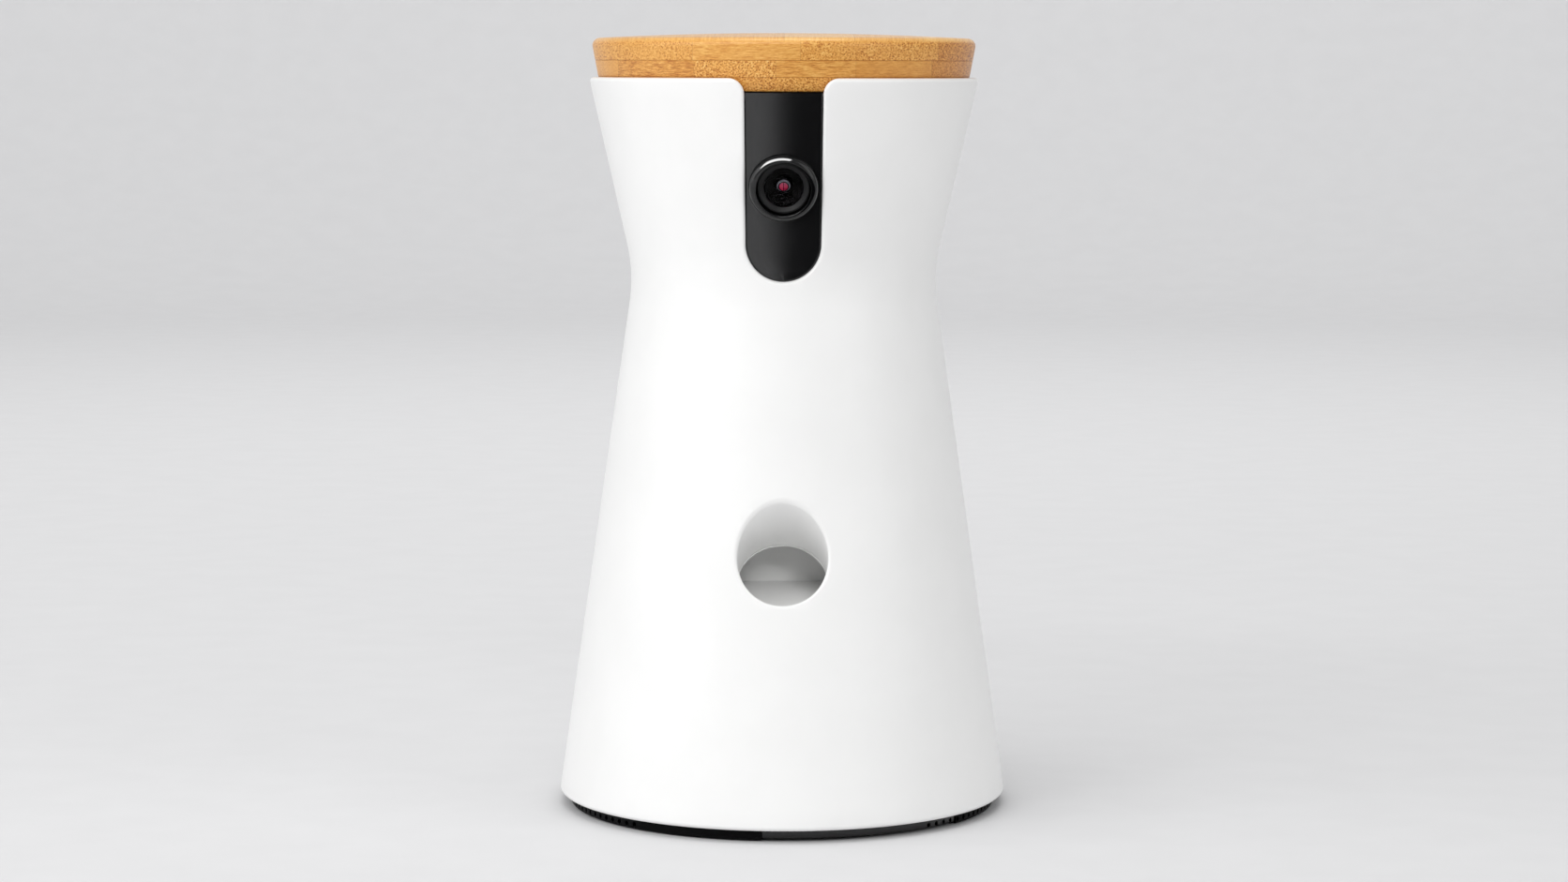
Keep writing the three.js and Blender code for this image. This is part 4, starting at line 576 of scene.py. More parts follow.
def bandBehindSkin(depth, thickness, low, high):  # an oval band that follows the body, a depth in
    heights = evenly(math.ceil((high - low) / panel["rowHeight"]), low, high)
    outer = [Vector((halfWidthAt(z) - depth, z)) for z in heights]
    inner = [Vector((halfWidthAt(z) - depth - thickness, z)) for z in heights[::-1]]
    return spun(outer + inner, bodyForm["steps"], depthRatio)


def makePanel():
    aboveZ = panel["topZ"] + panel["above"]
    face = bandBehindSkin(panel["recess"], panel["thickness"], panel["bottomZ"], panel["topZ"])
    steps = [(-grow - panel["gap"], panel["recess"] + depth) for grow, depth in lipSteps(panel["edge"])]
    face = carved(face, flared(lambda grow: bowlAndSides(grow, aboveZ), steps), "INTERSECT")
    depth, thickness = panel["flangeDepth"], panel["flangeThickness"]
    flange = bandBehindSkin(depth, thickness, panel["bottomZ"], panel["flangeTopZ"])
    wide = bowlAndSides(panel["flangeOverlap"], aboveZ)
    flange = carved(flange, lofted([[(x, y, z) for x, z in wide] for y in cutterEnds[-1]]), "INTERSECT")
    ends = [lensFrame @ Vector((0, 0, z)) for z in (-panel["holeReach"], panel["holeReach"])]
    hole = rodBetween(lensBezel["radius"] + lensBezel["clearance"], *ends, 96)
    return carved(fused(face, flange), hole)


# The lens: bezel, retaining ring, front glass and the red lens behind it, about the lens axis

lensBezel = {
    "radius": 9.65,
    "clearance": 0.1,
    "crestRadius": 1.85,
    "crestInner": 7.72,
    "innerRadius": 7.6,
    "height": 2.5,
    "innerHeight": 1.1,
    "depth": 5.0,
    "rearEdge": 0.2,
    "crestEdge": 0.06,
    "innerEdge": 0.15,
    "steps": 128,
}


def makeBezel():
    inner, outer, rearZ = lensBezel["innerRadius"], lensBezel["radius"], -lensBezel["depth"]
    section = rounded([
        (inner, rearZ),
        (outer, rearZ, lensBezel["rearEdge"]),
        (outer, lensBezel["height"], lensBezel["crestRadius"]),
        (lensBezel["crestInner"], lensBezel["height"], lensBezel["crestEdge"]),
        (inner, lensBezel["innerHeight"], lensBezel["innerEdge"]),
    ])
    return spun(section, lensBezel["steps"])


lensRing = {"radius": 7.3, "front": 0.8, "lip": 0.5, "rearZ": -13.2, "rearBore": 3.6, "rearChamfer": 0.7,
            "edge": 0.2, "lipEdge": 0.15, "wellEdge": 0.1, "glassGap": 0.1, "ledge": 0.5,
            "baffles": 5, "baffleStep": 0.3}
frontGlass = {"radius": 5.6, "edgeDepth": 1.0, "rise": 0.7, "hollow": 0.35, "seatGap": 0.1, "rings": 14}
redLens = {"radius": 2.5, "topZ": -4.6, "thickness": 1.3, "throat": 2.6, "dome": 1.5, "rimDrop": 0.3,
           "rings": 12, "steps": 64}


def makeLensRing():
    seat, glass, step = -frontGlass["edgeDepth"], frontGlass["radius"], lensRing["baffleStep"]
    throatZ, narrow = redLens["topZ"], redLens["throat"]
    backZ = throatZ - redLens["thickness"] - step
    wide = glass - lensRing["ledge"]
    baffles = []
    for share in evenly(lensRing["baffles"])[:-1]:  # fine steps down to the red lens
        radius, z = wide + (narrow - wide) * share, seat + (throatZ - seat) * share
        baffles += [(radius, z), (radius, z - step)]
    section = rounded([
        (lensRing["rearBore"], lensRing["rearZ"]),
        (lensRing["radius"], lensRing["rearZ"]),
        (lensRing["radius"], lensRing["front"], lensRing["edge"]),
        (lensRing["radius"] - lensRing["lip"], lensRing["front"], lensRing["lipEdge"]),
        (glass + lensRing["glassGap"], 0.0, lensRing["wellEdge"]),
        (glass + lensRing["glassGap"], seat),
        *baffles,
        (narrow, throatZ),
        (narrow, backZ),
        (lensRing["rearBore"], backZ - lensRing["rearChamfer"]),
    ])
    return spun(section, lensBezel["steps"])


def makeFrontGlass():
    radius, rise, hollow = frontGlass["radius"], frontGlass["rise"], frontGlass["hollow"]
    lowZ = -frontGlass["edgeDepth"] + frontGlass["seatGap"]
    shares = evenly(frontGlass["rings"], 1, 0)
    front = [(radius * s, rise * (1 - s * s)) for s in shares]
    rear = [(radius * s, lowZ + hollow * (1 - s * s)) for s in shares[::-1]]
    return spun(rear + front, lensBezel["steps"])


def makeRedLens():
    radius, topZ, drop = redLens["radius"], redLens["topZ"], redLens["rimDrop"]
    backZ = topZ - redLens["thickness"]
    dome = [(radius * s, topZ - drop + (redLens["dome"] + drop) * math.sqrt(1 - s * s))
            for s in evenly(redLens["rings"], 1, 0)]
    return spun([(0, backZ), (radius, backZ)] + dome, redLens["steps"])


# The bamboo lid

lid = {
    "bottomZ": 208.4,
    "topZ": 225.0,
    "bottomHalfWidth": 53.18,
    "shoulderHalfWidth": 56.02,
    "crownRise": 1.6,
    "topEdge": 2.2,
    "bottomEdge": 0.5,
    "glueLines": (212.4, 217.1),
    "glueDepth": 0.1,
    "glueHalfWidth": 0.12,
    "crownRadius": 52.0,
    "crownRings": 18,
    "steps": 192,
}


def makeLid():
    low, high = (lid["bottomHalfWidth"], lid["bottomZ"]), lid["topZ"] - lid["crownRise"]
    lean = (lid["shoulderHalfWidth"] - low[0]) / (high - low[1])

    def crown(radius):
        return lid["topZ"] - lid["crownRise"] * (radius / lid["shoulderHalfWidth"]) ** 2

    grooves = []
    for z in lid["glueLines"]:
        for lift, depth in ((-1, 0), (-0.4, 1), (0.4, 1), (1, 0)):
            at = z + lift * lid["glueHalfWidth"]
            grooves.append((low[0] + lean * (at - low[1]) - depth * lid["glueDepth"], at))
    section = rounded([
        (0, low[1]),
        (*low, lid["bottomEdge"]),
        *grooves,
        (lid["shoulderHalfWidth"], high, lid["topEdge"]),
        *[(r, crown(r)) for r in evenly(lid["crownRings"], lid["crownRadius"], 0)],
    ])
    return spun(section, lid["steps"], depthRatio)


# Finishes of the panel and the lens, of the metals and of the boards

glossPanel = mouldedPlastic("glossPanel", (20, 20, 21), (15, 15, 16), 0.14, 0.2, 0.000004,
                            {"Specular IOR Level": 0.75})
glossBezel = mouldedPlastic("glossBezel", (10, 10, 11), (6, 6, 7), 0.05, 0.09, 0.000002,
                            {"Coat Weight": 0.25, "Coat Roughness": 0.06, "Specular IOR Level": 0.4})
ringLook = {"outside": colour(24, 24, 25), "worn": colour(17, 17, 18), "inside": colour(5, 5, 5),
            "speck": 0.00001}


def acrossLens(place, centre):  # how far a place lies across and up from a centre, and how far away
    local = place.vectorMath("SUBTRACT", tuple(centre * mm)).inMillimetres()
    across, up = local.parts()[0], local.along(lensFrame.to_3x3() @ Vector((0, 1, 0)))
    return across, up, (across * across + up * up).root()


def paintRing(place):  # the barrel's front is dark grey, and its steps behind the glass are matt black
    radius = acrossLens(place, lensFrame.translation)[2]
    front = radius.over(frontGlass["radius"] - 0.2, frontGlass["radius"] + lensRing["glassGap"])
    grain = place.noise(moulding["speckScale"], 1)
    grey = place.noise(moulding["mottleScale"], 4).tint(ringLook["worn"], ringLook["outside"])
    return {
        "Base Color": front.tint(ringLook["inside"], grey),
        "Roughness": 0.75 - front * 0.38 + grain * 0.08,
        "Normal": grain.bump(ringLook["speck"], 0.5),
    }


ringBlack = makeFinish("ringBlack", {"Specular IOR Level": 0.25}, paintRing)


def workedMetal(name, pale, dark, smooth, rough, stretch, scratch=0.000006):
    def paint(place):  # fine lines left by rolling or turning, and a slight stain
        lines = place.vectorMath("MULTIPLY", stretch).noise(1800, 3, 0.7)
        stain = place.noise(160, 4)
        return {
            "Base Color": stain.over(0.3, 0.75).tint(colour(*pale), colour(*dark)),
            "Roughness": smooth + (rough - smooth) * (lines * 0.6 + stain * 0.4),
            "Normal": lines.bump(scratch, 0.6),
        }
    return makeFinish(name, {"Metallic": 1.0}, paint)


brightSteel = workedMetal("brightSteel", (206, 207, 209), (184, 185, 188), 0.2, 0.34, (1, 1, 0.06))
motorCan = workedMetal("motorCan", (198, 200, 202), (172, 174, 177), 0.28, 0.44, (0.05, 0.05, 1))
turnedBrass = workedMetal("turnedBrass", (214, 182, 110), (188, 152, 84), 0.24, 0.4, (0.08, 1, 1))

boardLook = {"mask": colour(28, 96, 58), "maskDark": colour(20, 74, 45), "trace": colour(52, 132, 82),
             "pad": colour(205, 170, 96)}


def paintBoard(place):  # solder mask with raised tracks under it and small tinned pads
    tracks = place.cells(420, "CHEBYCHEV").between(0.30, 0.36)
    pads = place.cells(760) < 0.16
    weave = place.noise(1400, 1)
    base = place.noise(60, 2).tint(boardLook["mask"], boardLook["maskDark"])
    return {
        "Base Color": pads.tint(tracks.tint(base, boardLook["trace"]), boardLook["pad"]),
        "Metallic": pads * 0.9,
        "Roughness": 0.34 + weave * 0.14,
        "Normal": (tracks * 0.6 + pads * 0.4 + weave * 0.1).bump(0.00003, 0.7),
    }


circuitBoard = makeFinish("circuitBoard", {"Coat Roughness": 0.2}, paintBoard)

# Glass and the coloured lens behind it

glassClear = {"Transmission Weight": 1.0, "IOR": 1.1}


def paintGlass(place):  # nearly clear, with a breath of unevenness in its gloss
    return {
        "Base Color": place.noise(240, 2).tint(colour(226, 224, 228), colour(218, 215, 221)),
        "Roughness": 0.01 + place.noise(900, 2) * 0.02,
    }


clearGlass = makeFinish("frontGlassClear", glassClear, paintGlass)

redLook = {
    "red": colour(255, 34, 90),
    "redPaintedLight": colour(255, 96, 138),
    "bar": colour(60, 6, 22),
    "rim": colour(170, 170, 176),
    "rimDark": colour(20, 20, 22),
    "discRadius": 1.2,
    "discDrop": 0.65,
    "barHalfWidth": 0.16,
    "rimInner": 1.5,
    "rimOuter": 1.95,
}


def paintRedLens(place):  # a red disc, paler towards its top as painted light, with a dark bar down it, in a grey rim
    centre = lensFrame @ Vector((0, -redLook["discDrop"], redLens["topZ"]))
    across, up, radius = acrossLens(place, centre)
    # painted light: the red turns paler towards the top of the disc
    red = (up * 0.35 + 0.5).tint(redLook["red"], redLook["redPaintedLight"])
    disc = across.near(0.0, redLook["barHalfWidth"]).tint(red, redLook["bar"])
    edge = radius.between(redLook["rimInner"], redLook["rimOuter"]).tint(redLook["rimDark"], redLook["rim"])
    return {
        "Base Color": (radius > redLook["discRadius"]).tint(disc, edge),
        "Roughness": 0.08 + place.noise(2000, 2) * 0.1,
    }


redGlass = makeFinish("redGlass", {"Coat Weight": 0.3, "Coat Roughness": 0.03}, paintRedLens)

# Bamboo: strips whose fibres run front to back show dots at the front, and the others show their grain

bambooLook = {
    "stops": ((0.0, colour(128, 66, 16)), (0.3, colour(184, 112, 38)), (0.55, colour(222, 156, 70)),
              (0.8, colour(244, 190, 104)), (1.0, colour(254, 220, 150))),
    "fibreSpacing": 0.68,
    "glueColour": colour(120, 66, 20),
    "glueReach": 0.173,
    "topFrom": 221.9,
    "topTo": 222.9,
    "stripWidth": 19.5,
    "nodeSpacing": 84.0,
    "nodeShare": 0.0141,
    "jointHalfWidth": 0.1,
    "seamShare": 0.008,
    "rightEnd": 90,
    "pore": 0.00007,
}
lidStrips = {  # each layer from its left: where a strip starts, 1 for dots or 0 for grain, contrast, tone
    "top": ((-60, 1, 0.8, 0.02), (-25.4, 0, 1.0, 0.05), (4.6, 1, 1.05, -0.01), (43.5, 1, 0.9, -0.13)),
    "middle": ((-60, 1, 0.35, 0.04), (-47, 0, 1.4, -0.05), (-25, 1, 1.35, 0.0), (-2.2, 0, 1.2, 0.01),
               (20, 0, 0.6, -0.01), (41.6, 1, 0.6, -0.12)),
    "low": ((-60, 0, 1.0, 0.0), (-21, 1, 1.2, -0.03), (21.5, 0, 1.0, -0.03)),
}


def fibreEnds(place, x, y, z, wander):  # dark dots in pale wood, crowded in patches
    spacing = 1 / bambooLook["fibreSpacing"]
    fibreX, fibreZ = (x + wander) * spacing, (z + wander * 3) * spacing
    cell = place.joined(fibreX, fibreZ, 0.0).cells(1.0, dimensions="2D")
    blobs = place.joined(fibreX * 1.3, y * 0.2, fibreZ * 1.3).noise(1.0, 1, 0.4) - 0.5
    patch = place.noise(220, 2).over(0.3, 0.7)
    return blobs * (0.65 + patch * 0.25) - (1 - cell.over(0.1, 0.42)) * (0.19 + patch * 0.11) + 0.06


def fibreSides(place, x, y, z, wander):  # long grain, fine lines in it, and a few dark flecks
    grain = place.joined(x * 0.3 + wander, y * 0.3, z * 2.2 + wander * 5).noise(1.0, 4, 0.65) - 0.5
    fine = place.joined(x * 0.9, y * 0.9, z * 5.5 + wander * 3).noise(1.0, 2) - 0.5
    flecks = place.joined(x * 1.2, y * 1.2, z * 3.4).noise(1.0, 2).over(0.62, 0.75)
    return grain * 0.95 + fine * 0.4 - flecks * 0.1


def paintBamboo(place):
    x, y, z = place.inMillimetres().parts()
    wander = place.noise(26, 2) - 0.5
    dots, grain = fibreEnds(place, x, y, z, wander), fibreSides(place, x, y, z, wander)
    topFace = z.over(bambooLook["topFrom"], bambooLook["topTo"])
    lowGlue, highGlue = lid["glueLines"]
    inLayer = {"top": z > highGlue, "middle": z.between(lowGlue, highGlue), "low": z < lowGlue}
    shades, joints = [], []
    for layer, strips in lidStrips.items():
        ends = [strip[0] for strip in strips[1:]] + [bambooLook["rightEnd"]]
        for (start, dotted, contrast, tone), end in zip(strips, ends):
            here = x.between(start, end) * inLayer[layer]
            shades.append(here * ((dots if dotted else grain) * contrast + tone))
            if start > strips[0][0]:
                joints.append(x.near(start, bambooLook["jointHalfWidth"]) * inLayer[layer])
    strip = (x / bambooLook["stripWidth"]).whole()
    shift = strip.node("ShaderNodeTexWhiteNoise", {"noise_dimensions": "1D"}, {"W": strip})
    along = (y / bambooLook["nodeSpacing"] + shift * 5).rest()
    node = along.near(0.5, bambooLook["nodeShare"]) * topFace
    seam = (x / bambooLook["stripWidth"] - strip < bambooLook["seamShare"]) * topFace
    streaks = (place.joined(x * 2.6, y * 0.03, z * 0.4).noise(1.0, 3) - 0.5) * 0.5
    # the top face keeps its grain streaks and strip tones, and is lightened all over as a painted highlight
    topGrainAndPaintedHighlight = topFace * (streaks + (shift - 0.5) * 0.14 + 0.17)
    cloud = (place.noise(34, 2) - 0.5) * 0.12
    level = 0.55 + sum(shades) * (1 - topFace * 0.85) + topGrainAndPaintedHighlight - node * 0.16 + cloud
    wood = level.node("ShaderNodeValToRGB", {"stops": bambooLook["stops"]}, {"Fac": level})
    lines = z.near(lowGlue, bambooLook["glueReach"]) + z.near(highGlue, bambooLook["glueReach"])
    dark = lines * 0.3 + sum(joints) * 0.22 * (1 - topFace) + seam * 0.3
    return {
        "Base Color": dark.math("MINIMUM", dark, 0.8).tint(wood, bambooLook["glueColour"]),
        "Roughness": 0.36 + place.noise(90, 3) * 0.12 - level * 0.06,
        "Coat Weight": 0.12 + topFace * 0.25,
        "Normal": (level - dark * 0.6).bump(bambooLook["pore"], 0.6),
    }


bamboo = makeFinish("bamboo", {"Coat Roughness": 0.18}, paintBamboo)

addPiece("cameraPanel", makePanel(), glossPanel, "body", "gloss_black", "camera_panel")
addPiece("lensBezel", makeBezel(), glossBezel, "body", "gloss_black", "lens_bezel", matrix=lensFrame)
addPiece("lensRing", makeLensRing(), ringBlack, "body", "lens_ring", "lens_barrel", matrix=lensFrame)
addPiece("frontGlass", makeFrontGlass(), clearGlass, "body", "lens_glass", "front_element", matrix=lensFrame)
addPiece("redLens", makeRedLens(), redGlass, "body", "red_glass", "inner_element", matrix=lensFrame)
addPiece("bambooLid", makeLid(), bamboo, "lid", "bamboo", "bamboo_lid")
print("panel, lens and lid made")


# The base: its tray, and the window for the status light

tray = {
    "sideGap": 0.41,
    "wall": 2.0,
    "bottomZ": 0.3,
    "topZ": 9.0,
    "floorZ": 2.8,
    "floorThickness": 2.0,
    "edge": 0.4,
    "holesEachSide": 12,
    "holeRadius": 0.7,
    "holeZ": 1.55,
    "holeFirstDegrees": 42.4,
    "holeStepDegrees": 2.9,
    "slots": 5,
    "slotLength": 22.0,
    "slotWidth": 2.4,
    "slotPitch": 5.0,
    "slotMiddleY": -32.0,
    "slotCorner": 1.1,
    "screwHole": 1.6,
    "buttonHole": 2.1,
    "holeReach": (-5, 4),
    "windowGap": 0.3,
    "postX": 18.0,
    "postInset": 7.0,
    "postRadius": 2.5,
    "postTopZ": 12.9,
    "steps": 192,
}
trayHalfWidth = halfWidthAt(tray["topZ"]) - bodyForm["wall"] - tray["sideGap"]
statusWindow = {
    "fromDegrees": -5.4,
    "toDegrees": 53.3,
    "recess": 0.4,
    "thickness": 1.5,
    "bottomZ": 0.85,
    "topZ": 6.5,
    "gap": 0.3,
    "edge": 0.25,
    "holes": 5,
    "steps": 64,
}


def boxOf(node):  # the two corners of a solid's box, in millimetres
    return [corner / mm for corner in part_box(node)]


def middleOf(node):
    low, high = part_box(node)
    return (low + high) / 2 / mm


def skirtDrills(side, count):  # short rods through the skirt at even steps round the front
    drills = []
    for i in range(count):
        a = math.radians(side * (tray["holeFirstDegrees"] + i * tray["holeStepDegrees"]) - 90)
        way = Vector((math.cos(a), math.sin(a) * depthRatio, 0))
        ends = [way * (trayHalfWidth + reach) + Vector((0, 0, tray["holeZ"])) for reach in tray["holeReach"]]
        drills.append(rodBetween(tray["holeRadius"], *ends, 20))
    return drills


def windowRing(inset, thickness, low, high, gapDegrees=0.0, edge=0.0):  # a stretch of the skirt's ring
    outer = trayHalfWidth - inset
    inner, more = outer - thickness, (edge,) if edge else ()
    corners = [(inner, low, *more), (outer, low, *more), (outer, high, *more), (inner, high, *more)]
    section = rounded(corners, 3)
    first = statusWindow["fromDegrees"] + gapDegrees
    last = statusWindow["toDegrees"] - gapDegrees
    bm = spun(section, statusWindow["steps"], 1, math.radians(last - first))
    bmesh.ops.rotate(bm, matrix=Matrix.Rotation(math.radians(first - 90), 3, "Z"), verts=bm.verts)
    bmesh.ops.scale(bm, vec=(1, depthRatio, 1), verts=bm.verts)
    return bm


def postsOnFloor():  # four posts that carry the power board
    front, back = (corner.y for corner in boxOf("power_board"))
    lowZ, topZ = tray["floorZ"] + 0.5, tray["postTopZ"]
    return [rodBetween(tray["postRadius"], (x, y, lowZ), (x, y, topZ), 32)
            for x in (-tray["postX"], tray["postX"])
            for y in (front + tray["postInset"], back - tray["postInset"])]


def floorCutters(lowZ, topZ):  # holes for the screws and the button, and slots for the speaker
    holes = [("base_screw_%d" % i, tray["screwHole"], 24) for i in range(1, 5)]
    tools = []
    for node, radius, sides in holes + [("reset_button", tray["buttonHole"], 32)]:
        at = middleOf(node)
        tools.append(rodBetween(radius, (at.x, at.y, lowZ), (at.x, at.y, topZ), sides))
    long, wide = tray["slotLength"] / 2, tray["slotWidth"] / 2
    for i in range(tray["slots"]):
        y = tray["slotMiddleY"] + (i - (tray["slots"] - 1) / 2) * tray["slotPitch"]
        outline = rectangle((-long, y - wide), (long, y + wide), tray["slotCorner"])
        tools.append(lofted([[(*p, z) for p in outline] for z in (lowZ, topZ)]))
    return tools


def makeTray():
    outer, inner, edge = trayHalfWidth, trayHalfWidth - tray["wall"], tray["edge"]
    floorTop = tray["floorZ"] + tray["floorThickness"]
    section = rounded([
        (0, tray["floorZ"]),
        (inner, tray["floorZ"], edge),
        (inner, tray["bottomZ"], edge),
        (outer, tray["bottomZ"], edge),
        (outer, tray["topZ"], edge),
        (inner, tray["topZ"], edge),
        (inner, floorTop, edge),
        (0, floorTop),
    ], 3)
    whole = fused(spun(section, tray["steps"], depthRatio), together(*postsOnFloor()))
    gap = tray["windowGap"]
    opening = windowRing(-past, tray["wall"] + gap + past, tray["bottomZ"] - past, statusWindow["topZ"] + gap)
    drills = skirtDrills(-1, tray["holesEachSide"]) + skirtDrills(1, tray["holesEachSide"])
    cutters = floorCutters(tray["floorZ"] - past, floorTop + past)
    return carved(carved(whole, opening), together(*drills, *cutters))


def makeWindow():
    gap = math.degrees(statusWindow["gap"] / trayHalfWidth)
    window = windowRing(statusWindow["recess"], statusWindow["thickness"], statusWindow["bottomZ"],
                        statusWindow["topZ"], gap, statusWindow["edge"])
    return carved(window, together(*skirtDrills(1, statusWindow["holes"])))


smokedWindow = mouldedPlastic("smokedWindow", (22, 22, 24), (18, 18, 20), 0.1, 0.16, 0.000004)
addPiece("baseTray", makeTray(), baseBlack, "body", "black_plastic", "base_tray")
addPiece("statusWindow", makeWindow(), smokedWindow, "body", "smoked_window", "status_light_window")
print("base made")


# Under the base: feet, screws and the reset button

rubberFoot = {"radius": 6.5, "topZ": 2.7, "edge": 0.6, "topEdge": 0.15, "draft": 0.15,
              "ribs": (1.6, 3.0, 4.4), "ribWidth": 0.35, "ribDepth": 0.25}
baseScrew = {"headRadius": 2.9, "headLow": 1.0, "headTop": 2.7, "headSide": 0.75, "headEdges": (0.3, 0.1),
             "crown": 0.35, "crownShare": 0.86, "shankRadius": 1.3, "endZ": 12.7, "point": 0.6, "neck": 0.4,
             "threads": 14, "threadPitch": 0.62, "threadDepth": 0.25,
             "slotHalf": 1.8, "slotThin": 0.42, "slotDepth": 0.9}


def makeFoot():
    radius, topZ = rubberFoot["radius"], rubberFoot["topZ"]
    ribs = []
    for middle in rubberFoot["ribs"]:
        for out, deep in ((-1, 0), (-0.7, 1), (0.7, 1), (1, 0)):
            ribs.append((middle + out * rubberFoot["ribWidth"], deep * rubberFoot["ribDepth"]))
    section = rounded([
        (0, 0),
        *ribs,
        (radius - rubberFoot["draft"], 0, rubberFoot["edge"]),
        (radius, topZ, rubberFoot["topEdge"]),
        (0, topZ),
    ])
    return spun(section, 64)


def crossArm(wide, tall):  # one arm of the cross in the head, narrower towards its bottom
    low, deep = baseScrew["headLow"], baseScrew["slotDepth"]
    ring = ((-1, -1), (1, -1), (1, 1), (-1, 1))
    return lofted([[(wide * grow * x, tall * grow * y, low + z) for x, y in ring]
                   for grow, z in ((1.08, -1), (1, 0.2), (0.62, deep))])


def makeScrew():
    low, top, head = baseScrew["headLow"], baseScrew["headTop"], baseScrew["headRadius"]
    shank, pitch = baseScrew["shankRadius"], baseScrew["threadPitch"]
    root = shank - baseScrew["threadDepth"]
    crown = [(head * baseScrew["crownShare"] * s, low + baseScrew["crown"] * s * s) for s in evenly(6)]
    thread = []
    for i in range(baseScrew["threads"]):
        z = top + baseScrew["neck"] + i * pitch
        thread += [(root, z), (shank, z + pitch / 2)]
    section = rounded([
        *crown,
        (head, low + baseScrew["headSide"], baseScrew["headEdges"][0]),
        (head, top, baseScrew["headEdges"][1]),
        (root, top),
        *thread,
        (root, baseScrew["endZ"] - baseScrew["point"]),
        (0, baseScrew["endZ"]),
    ])
    half, thin = baseScrew["slotHalf"], baseScrew["slotThin"]
    return carved(spun(section, 48), fused(crossArm(half, thin), crossArm(thin, half)))


resetButton = {"bottomZ": 1.2, "stemRadius": 1.8, "dish": 0.3, "dishShare": 0.8, "flangeRadius": 2.8,
               "flangeLow": 5.1, "flangeTop": 6.1, "edge": 0.2, "flangeEdge": 0.15}


def makeButton():
    low, stem, edge = resetButton["bottomZ"], resetButton["stemRadius"], resetButton["edge"]
    flange, flangeEdge = resetButton["flangeRadius"], resetButton["flangeEdge"]
    flangeLow, flangeTop = resetButton["flangeLow"], resetButton["flangeTop"]
    top = boxOf("reset_button")[1].z
    section = rounded([
        *[(stem * resetButton["dishShare"] * s, low + resetButton["dish"] * (1 - s * s)) for s in evenly(6)],
        (stem, low, edge),
        (stem, flangeLow),
        (flange, flangeLow, flangeEdge),
        (flange, flangeTop, flangeEdge),
        (stem, flangeTop),
        (stem, top, edge),
        (0, top),
    ])
    return spun(section, 48)


def upright(node):  # a piece drawn about its own axis, set over its solid
    at = middleOf(node)
    return Matrix.Translation((at.x, at.y, 0))


for i in range(1, 5):
    footNode, screwNode = "rubber_foot_%d" % i, "base_screw_%d" % i
    addPiece("foot%d" % i, makeFoot(), footRubber, "body", "rubber", footNode, matrix=upright(footNode))
    addPiece("screw%d" % i, makeScrew(), brightSteel, "body", "steel", screwNode, matrix=upright(screwNode))
over = upright("reset_button")
addPiece("resetButton", makeButton(), greyPlastic, "button", "grey_plastic", "reset_button", matrix=over)

# The power socket at the back

usbSocket = {"wall": 0.5, "corner": 1.2, "innerCorner": 0.8, "mouthDepth": 4.6, "edge": 0.1,
             "mouthEdge": 0.25, "tongueHalfWidth": 1.9, "tongueHalf": 0.3, "tongueSetBack": 1.0,
             "tongueEdge": 0.12, "tongueRoot": 0.2, "contactPitch": 0.65}


def makeSocket():
    low, high = boxOf("usb_socket")

    def ring(inset, corner, y):
        outline = rectangle((low.x + inset, low.z + inset), (high.x - inset, high.z - inset), corner, 8)
        return [(p.x, y, p.y) for p in outline]

    wall, corner, inner = usbSocket["wall"], usbSocket["corner"], usbSocket["innerCorner"]
    edge, mouthEdge, deep = usbSocket["edge"], usbSocket["mouthEdge"], high.y - usbSocket["mouthDepth"]
    can = lofted([ring(0, corner, low.y), ring(0, corner, high.y - edge), ring(edge, corner - edge, high.y)])
    hollow = lofted([
        ring(wall, inner, deep),
        ring(wall, inner, high.y - mouthEdge),
        ring(wall - mouthEdge, inner, high.y + 0.1),
    ])
    wide, thin, middleZ = usbSocket["tongueHalfWidth"], usbSocket["tongueHalf"], (low.z + high.z) / 2
    front = high.y - usbSocket["tongueSetBack"]
    root = deep - usbSocket["tongueRoot"]
    tongue = boxBetween((-wide, root, middleZ - thin), (wide, front, middleZ + thin))
    return fused(carved(can, hollow), eased(tongue, tongue.edges[:], usbSocket["tongueEdge"], 2))


def paintSocket(place):  # a plated can whose tongue is black with gilt contacts
    x, y, z = place.inMillimetres().parts()
    low, high = boxOf("usb_socket")
    front, middleZ = high.y - usbSocket["tongueSetBack"], (low.z + high.z) / 2
    wide, thin = usbSocket["tongueHalfWidth"] + 0.02, usbSocket["tongueHalf"] + 0.01
    tongue = x.between(-wide, wide) * z.between(middleZ - thin, middleZ + thin) * (y < front + 0.1)
    stripe = (x / usbSocket["contactPitch"] + 0.5).rest().between(0.25, 0.75) * (y < front - 0.3)
    metal = place.noise(220, 3).tint(colour(208, 209, 211), colour(176, 178, 181))
    plastic = stripe.tint(colour(22, 22, 24), colour(212, 176, 98))
    return {
        "Base Color": tongue.tint(metal, plastic),
        "Metallic": 1 - tongue * (1 - stripe),
        "Roughness": 0.26 + place.noise(1600, 2) * 0.16,
    }


socketMetal = makeFinish("socketMetal", {}, paintSocket)
addPiece("powerSocket", makeSocket(), socketMetal, "body", "steel", "usb_socket")
print("feet, screws, button and socket made")


# The bin under the lid, the feed disc in its floor, and the plug and seal that close it

